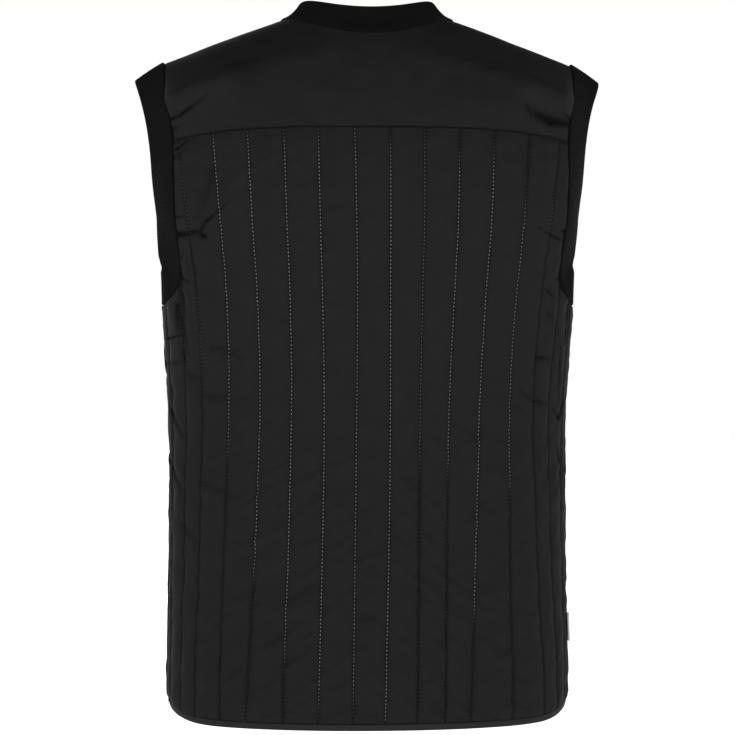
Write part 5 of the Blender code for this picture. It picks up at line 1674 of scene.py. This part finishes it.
def add_quilts(panels, finishes):
    """The quilted panels and their thread. Returns the outside of each panel."""
    stitch = stitch_piece()
    outsides = {}
    for label, panel in panels.items():
        plan = PANELS[label]
        cloth = panel.cloth
        thickness, hollow = panel.thickness(label, plan.seed)
        outside = cloth.raised(thickness)
        outsides[label] = outside
        name = "quilted_" + plan.name
        # The panel carries its painted shade as a point value
        item = shell_object(name, cloth, outside, cloth.inside, finishes["satin"], {"hollow": hollow})
        add_to_vest(item, (plan.node,))
        declare_sheet(cloth)
        lines = thread_lines(panel, label, outside)
        finish = finishes["quilting_thread"]
        name = "quilting_thread_" + label
        run = row_object(name, lines, stitch, STITCH_PITCH, STITCH_UNEVENNESS, plan.seed, finish)
        add_to_vest(run)
    bpy.data.objects.remove(stitch)
    return outsides


def add_yoke(finish):
    cloth, thickness, hollow = yoke_cloth()
    outside = cloth.raised(thickness)
    # The yoke carries its painted shade as a point value
    item = shell_object("yoke_satin", cloth, outside, cloth.inside, finish, {"hollow": hollow})
    add_to_vest(item, ("back_yoke",))
    declare_sheet(cloth)
    return cloth


def add_bands(yoke, panels, finish):
    """The armhole bands and the collar. Returns the collar's cloth."""
    armhole = armhole_seam(yoke, panels["back"], panels["left"])
    for name, turn in (("left", 1.0), ("right", -1.0)):
        seam = armhole * np.tile((turn, 1.0, 1.0), 3)
        item, cloth = rib_band("armhole_rib_" + name, seam, cuff_edge, CUFF_FLARE, RIB_WALL, True, finish)
        add_to_vest(item, ("cuff_" + name,))
        declare_sheet(cloth)
    seam = neck_seam(yoke, panels["left"])
    item, collar = rib_band("collar_rib", seam, collar_edge, COLLAR_FLARE, COLLAR_WALL, False, finish)
    add_to_vest(item, ("collar",))
    declare_sheet(collar)
    return collar


def add_hems(panels, finish):
    """The bound edges. Returns the cloth of each."""
    hems = {}
    for label, panel in panels.items():
        plan = PANELS[label]
        item, hems[label] = hem_object("hem_binding_" + plan.name, panel, plan.mirror, finish)
        add_to_vest(item, ("hem_" + plan.name,))
        declare_sheet(hems[label], HEM_WALL)
    return hems


def add_label(back, outside, finish):
    item, cloth = label_object(back, outside, finish)
    add_to_vest(item, ("side_label",))
    declare_sheet(cloth)


def add_zip(path, finishes):
    """The tapes and their teeth, the slider and its pull."""
    stop = line_lengths(path)[-1] - (SLIDER_BELOW_TOP - SLIDER_LENGTH / 2 + POST + SEAM_GAP)
    steps = round(stop / TAPE_STEP)
    taped = along_line(path, np.linspace(0.0, stop, steps))
    tooth = tooth_piece()
    moulded = finishes["moulded_teeth"]
    sides = (("left", 1.0, LOW_TEETH_GAP), ("right", -1.0, LOW_TEETH_GAP + TOOTH_PITCH / 2))
    for name, mirror, start in sides:
        item, cloth = zip_tape("zip_tape_weave_" + name, taped, mirror, finishes["zip_tape_weave"])
        add_to_vest(item, ("zip_tape_" + name,))
        declare_sheet(cloth)
        lines = tooth_lines(along_line(taped, np.linspace(start, stop - TOP_TEETH_GAP, steps)), mirror)
        run = row_object("zip_teeth_" + name, lines, tooth, TOOTH_PITCH, 0.0, TEETH_SEED, moulded)
        add_to_vest(run)
    bpy.data.objects.remove(tooth)
    metal = finishes["dark_metal"]
    add_to_vest(metal_copy("slider_body", "zip_slider", metal), ("zip_slider",))
    add_to_vest(metal_copy("pull_blade", "zip_pull", metal), ("zip_pull",), "pull_tab")


def build_vest():
    weave = weave_group()
    finishes = {name: cloth_finish(name, weave, look) for name, look in CLOTH_LOOKS.items()}
    finishes["quilting_thread"] = thread_finish()
    for name, look in HARD_LOOKS.items():
        finishes[name] = hard_finish(name, look)
    panels = {label: QuiltedPanel(plan.side, plan.mirror) for label, plan in PANELS.items()}
    outsides = add_quilts(panels, finishes)
    # The yoke wears the lighter copy of the satin, painted light
    yoke = add_yoke(finishes["plain_satin"])
    collar = add_bands(yoke, panels, finishes["rib_knit"])
    # The bindings wear a lighter copy of the satin, painted light, with their own gloss
    hems = add_hems(panels, finishes["bound_edge"])
    add_label(panels["back"], outsides["back"], finishes["label_weave"])
    add_zip(zip_path(hems["left"], panels["left"], collar), finishes)


def build_floor():
    bpy.ops.mesh.primitive_circle_add(vertices=FLOOR_SIDES, radius=FLOOR_RADIUS, fill_type="NGON")
    floor = bpy.context.object
    floor.location.z = FLOOR_HEIGHT
    floor.name = "floor"
    finish, tree, shader = plain_finish("pale_floor", FLOOR_ROUGHNESS)
    seen = add_node(tree, "ShaderNodeLightPath").outputs["Is Camera Ray"]
    surface = {
        "Base Color": FLOOR_TONE,
        "Emission Color": WHITE,
        "Emission Strength": math_node(tree, "MAXIMUM", seen, FLOOR_GLOW),
    }
    set_inputs(tree, shader, surface)
    floor.data.materials.append(finish)


def build_world():
    """Soft studio light: brightest near the horizon, dim overhead, and plain white behind the vest."""
    world = bpy.data.worlds.new("soft_studio")
    bpy.context.scene.world = world
    world.use_nodes = True
    tree = world.node_tree
    tree.nodes.clear()
    direction = add_node(tree, "ShaderNodeTexCoord").outputs["Generated"]
    up = add_node(tree, "ShaderNodeSeparateXYZ", {0: direction}).outputs["Z"]
    fall = {
        "Value": up,
        "From Min": LEVEL_UP_TO,
        "From Max": DIM_ABOVE,
        "To Min": HORIZON_LIGHT,
        "To Max": OVERHEAD_LIGHT,
    }
    strength = add_node(tree, "ShaderNodeMapRange", fall, interpolation_type="SMOOTHSTEP").outputs[0]
    surround = add_node(tree, "ShaderNodeBackground", {"Color": WHITE, "Strength": strength}).outputs[0]
    backdrop = add_node(tree, "ShaderNodeBackground", {"Color": WHITE, "Strength": 1.0}).outputs[0]
    seen = add_node(tree, "ShaderNodeLightPath").outputs["Is Camera Ray"]
    either = add_node(tree, "ShaderNodeMixShader", {0: seen, 1: surround, 2: backdrop})
    add_node(tree, "ShaderNodeOutputWorld", {"Surface": either.outputs[0]})


def add_facing(name, data, place, direction):
    """A light or a camera that looks in one direction."""
    item = bpy.data.objects.new(name, data)
    item.location = place
    item.rotation_mode = "QUATERNION"
    item.rotation_quaternion = direction.to_track_quat("-Z", "Y")
    bpy.context.scene.collection.objects.link(item)
    return item


def build_lights():
    for box in SOFTBOXES:
        light = bpy.data.lights.new(box.name, "AREA")
        light.shape = "SQUARE"
        light.size = SOFTBOX_SIZE
        light.energy = box.power
        add_facing(box.name, light, box.place, Vector(SOFTBOX_TARGET) - Vector(box.place))


def build_camera():
    """A level camera behind the vest, at the photograph's distance and framing."""
    camera = bpy.data.cameras.new("camera")
    camera.sensor_width = SENSOR_WIDTH
    camera.lens = SENSOR_WIDTH * CAMERA_DISTANCE * PIXELS_PER_METRE / PHOTO_SIDE
    out = Vector((math.sin(CAMERA_TURN), math.cos(CAMERA_TURN), 0.0)) * CAMERA_DISTANCE
    bpy.context.scene.camera = add_facing("camera", camera, (out.x, out.y, CAMERA_HEIGHT), -out)


build_vest()
build_floor()
build_world()
build_lights()
build_camera()
bpy.context.scene.view_settings.view_transform = "Standard"
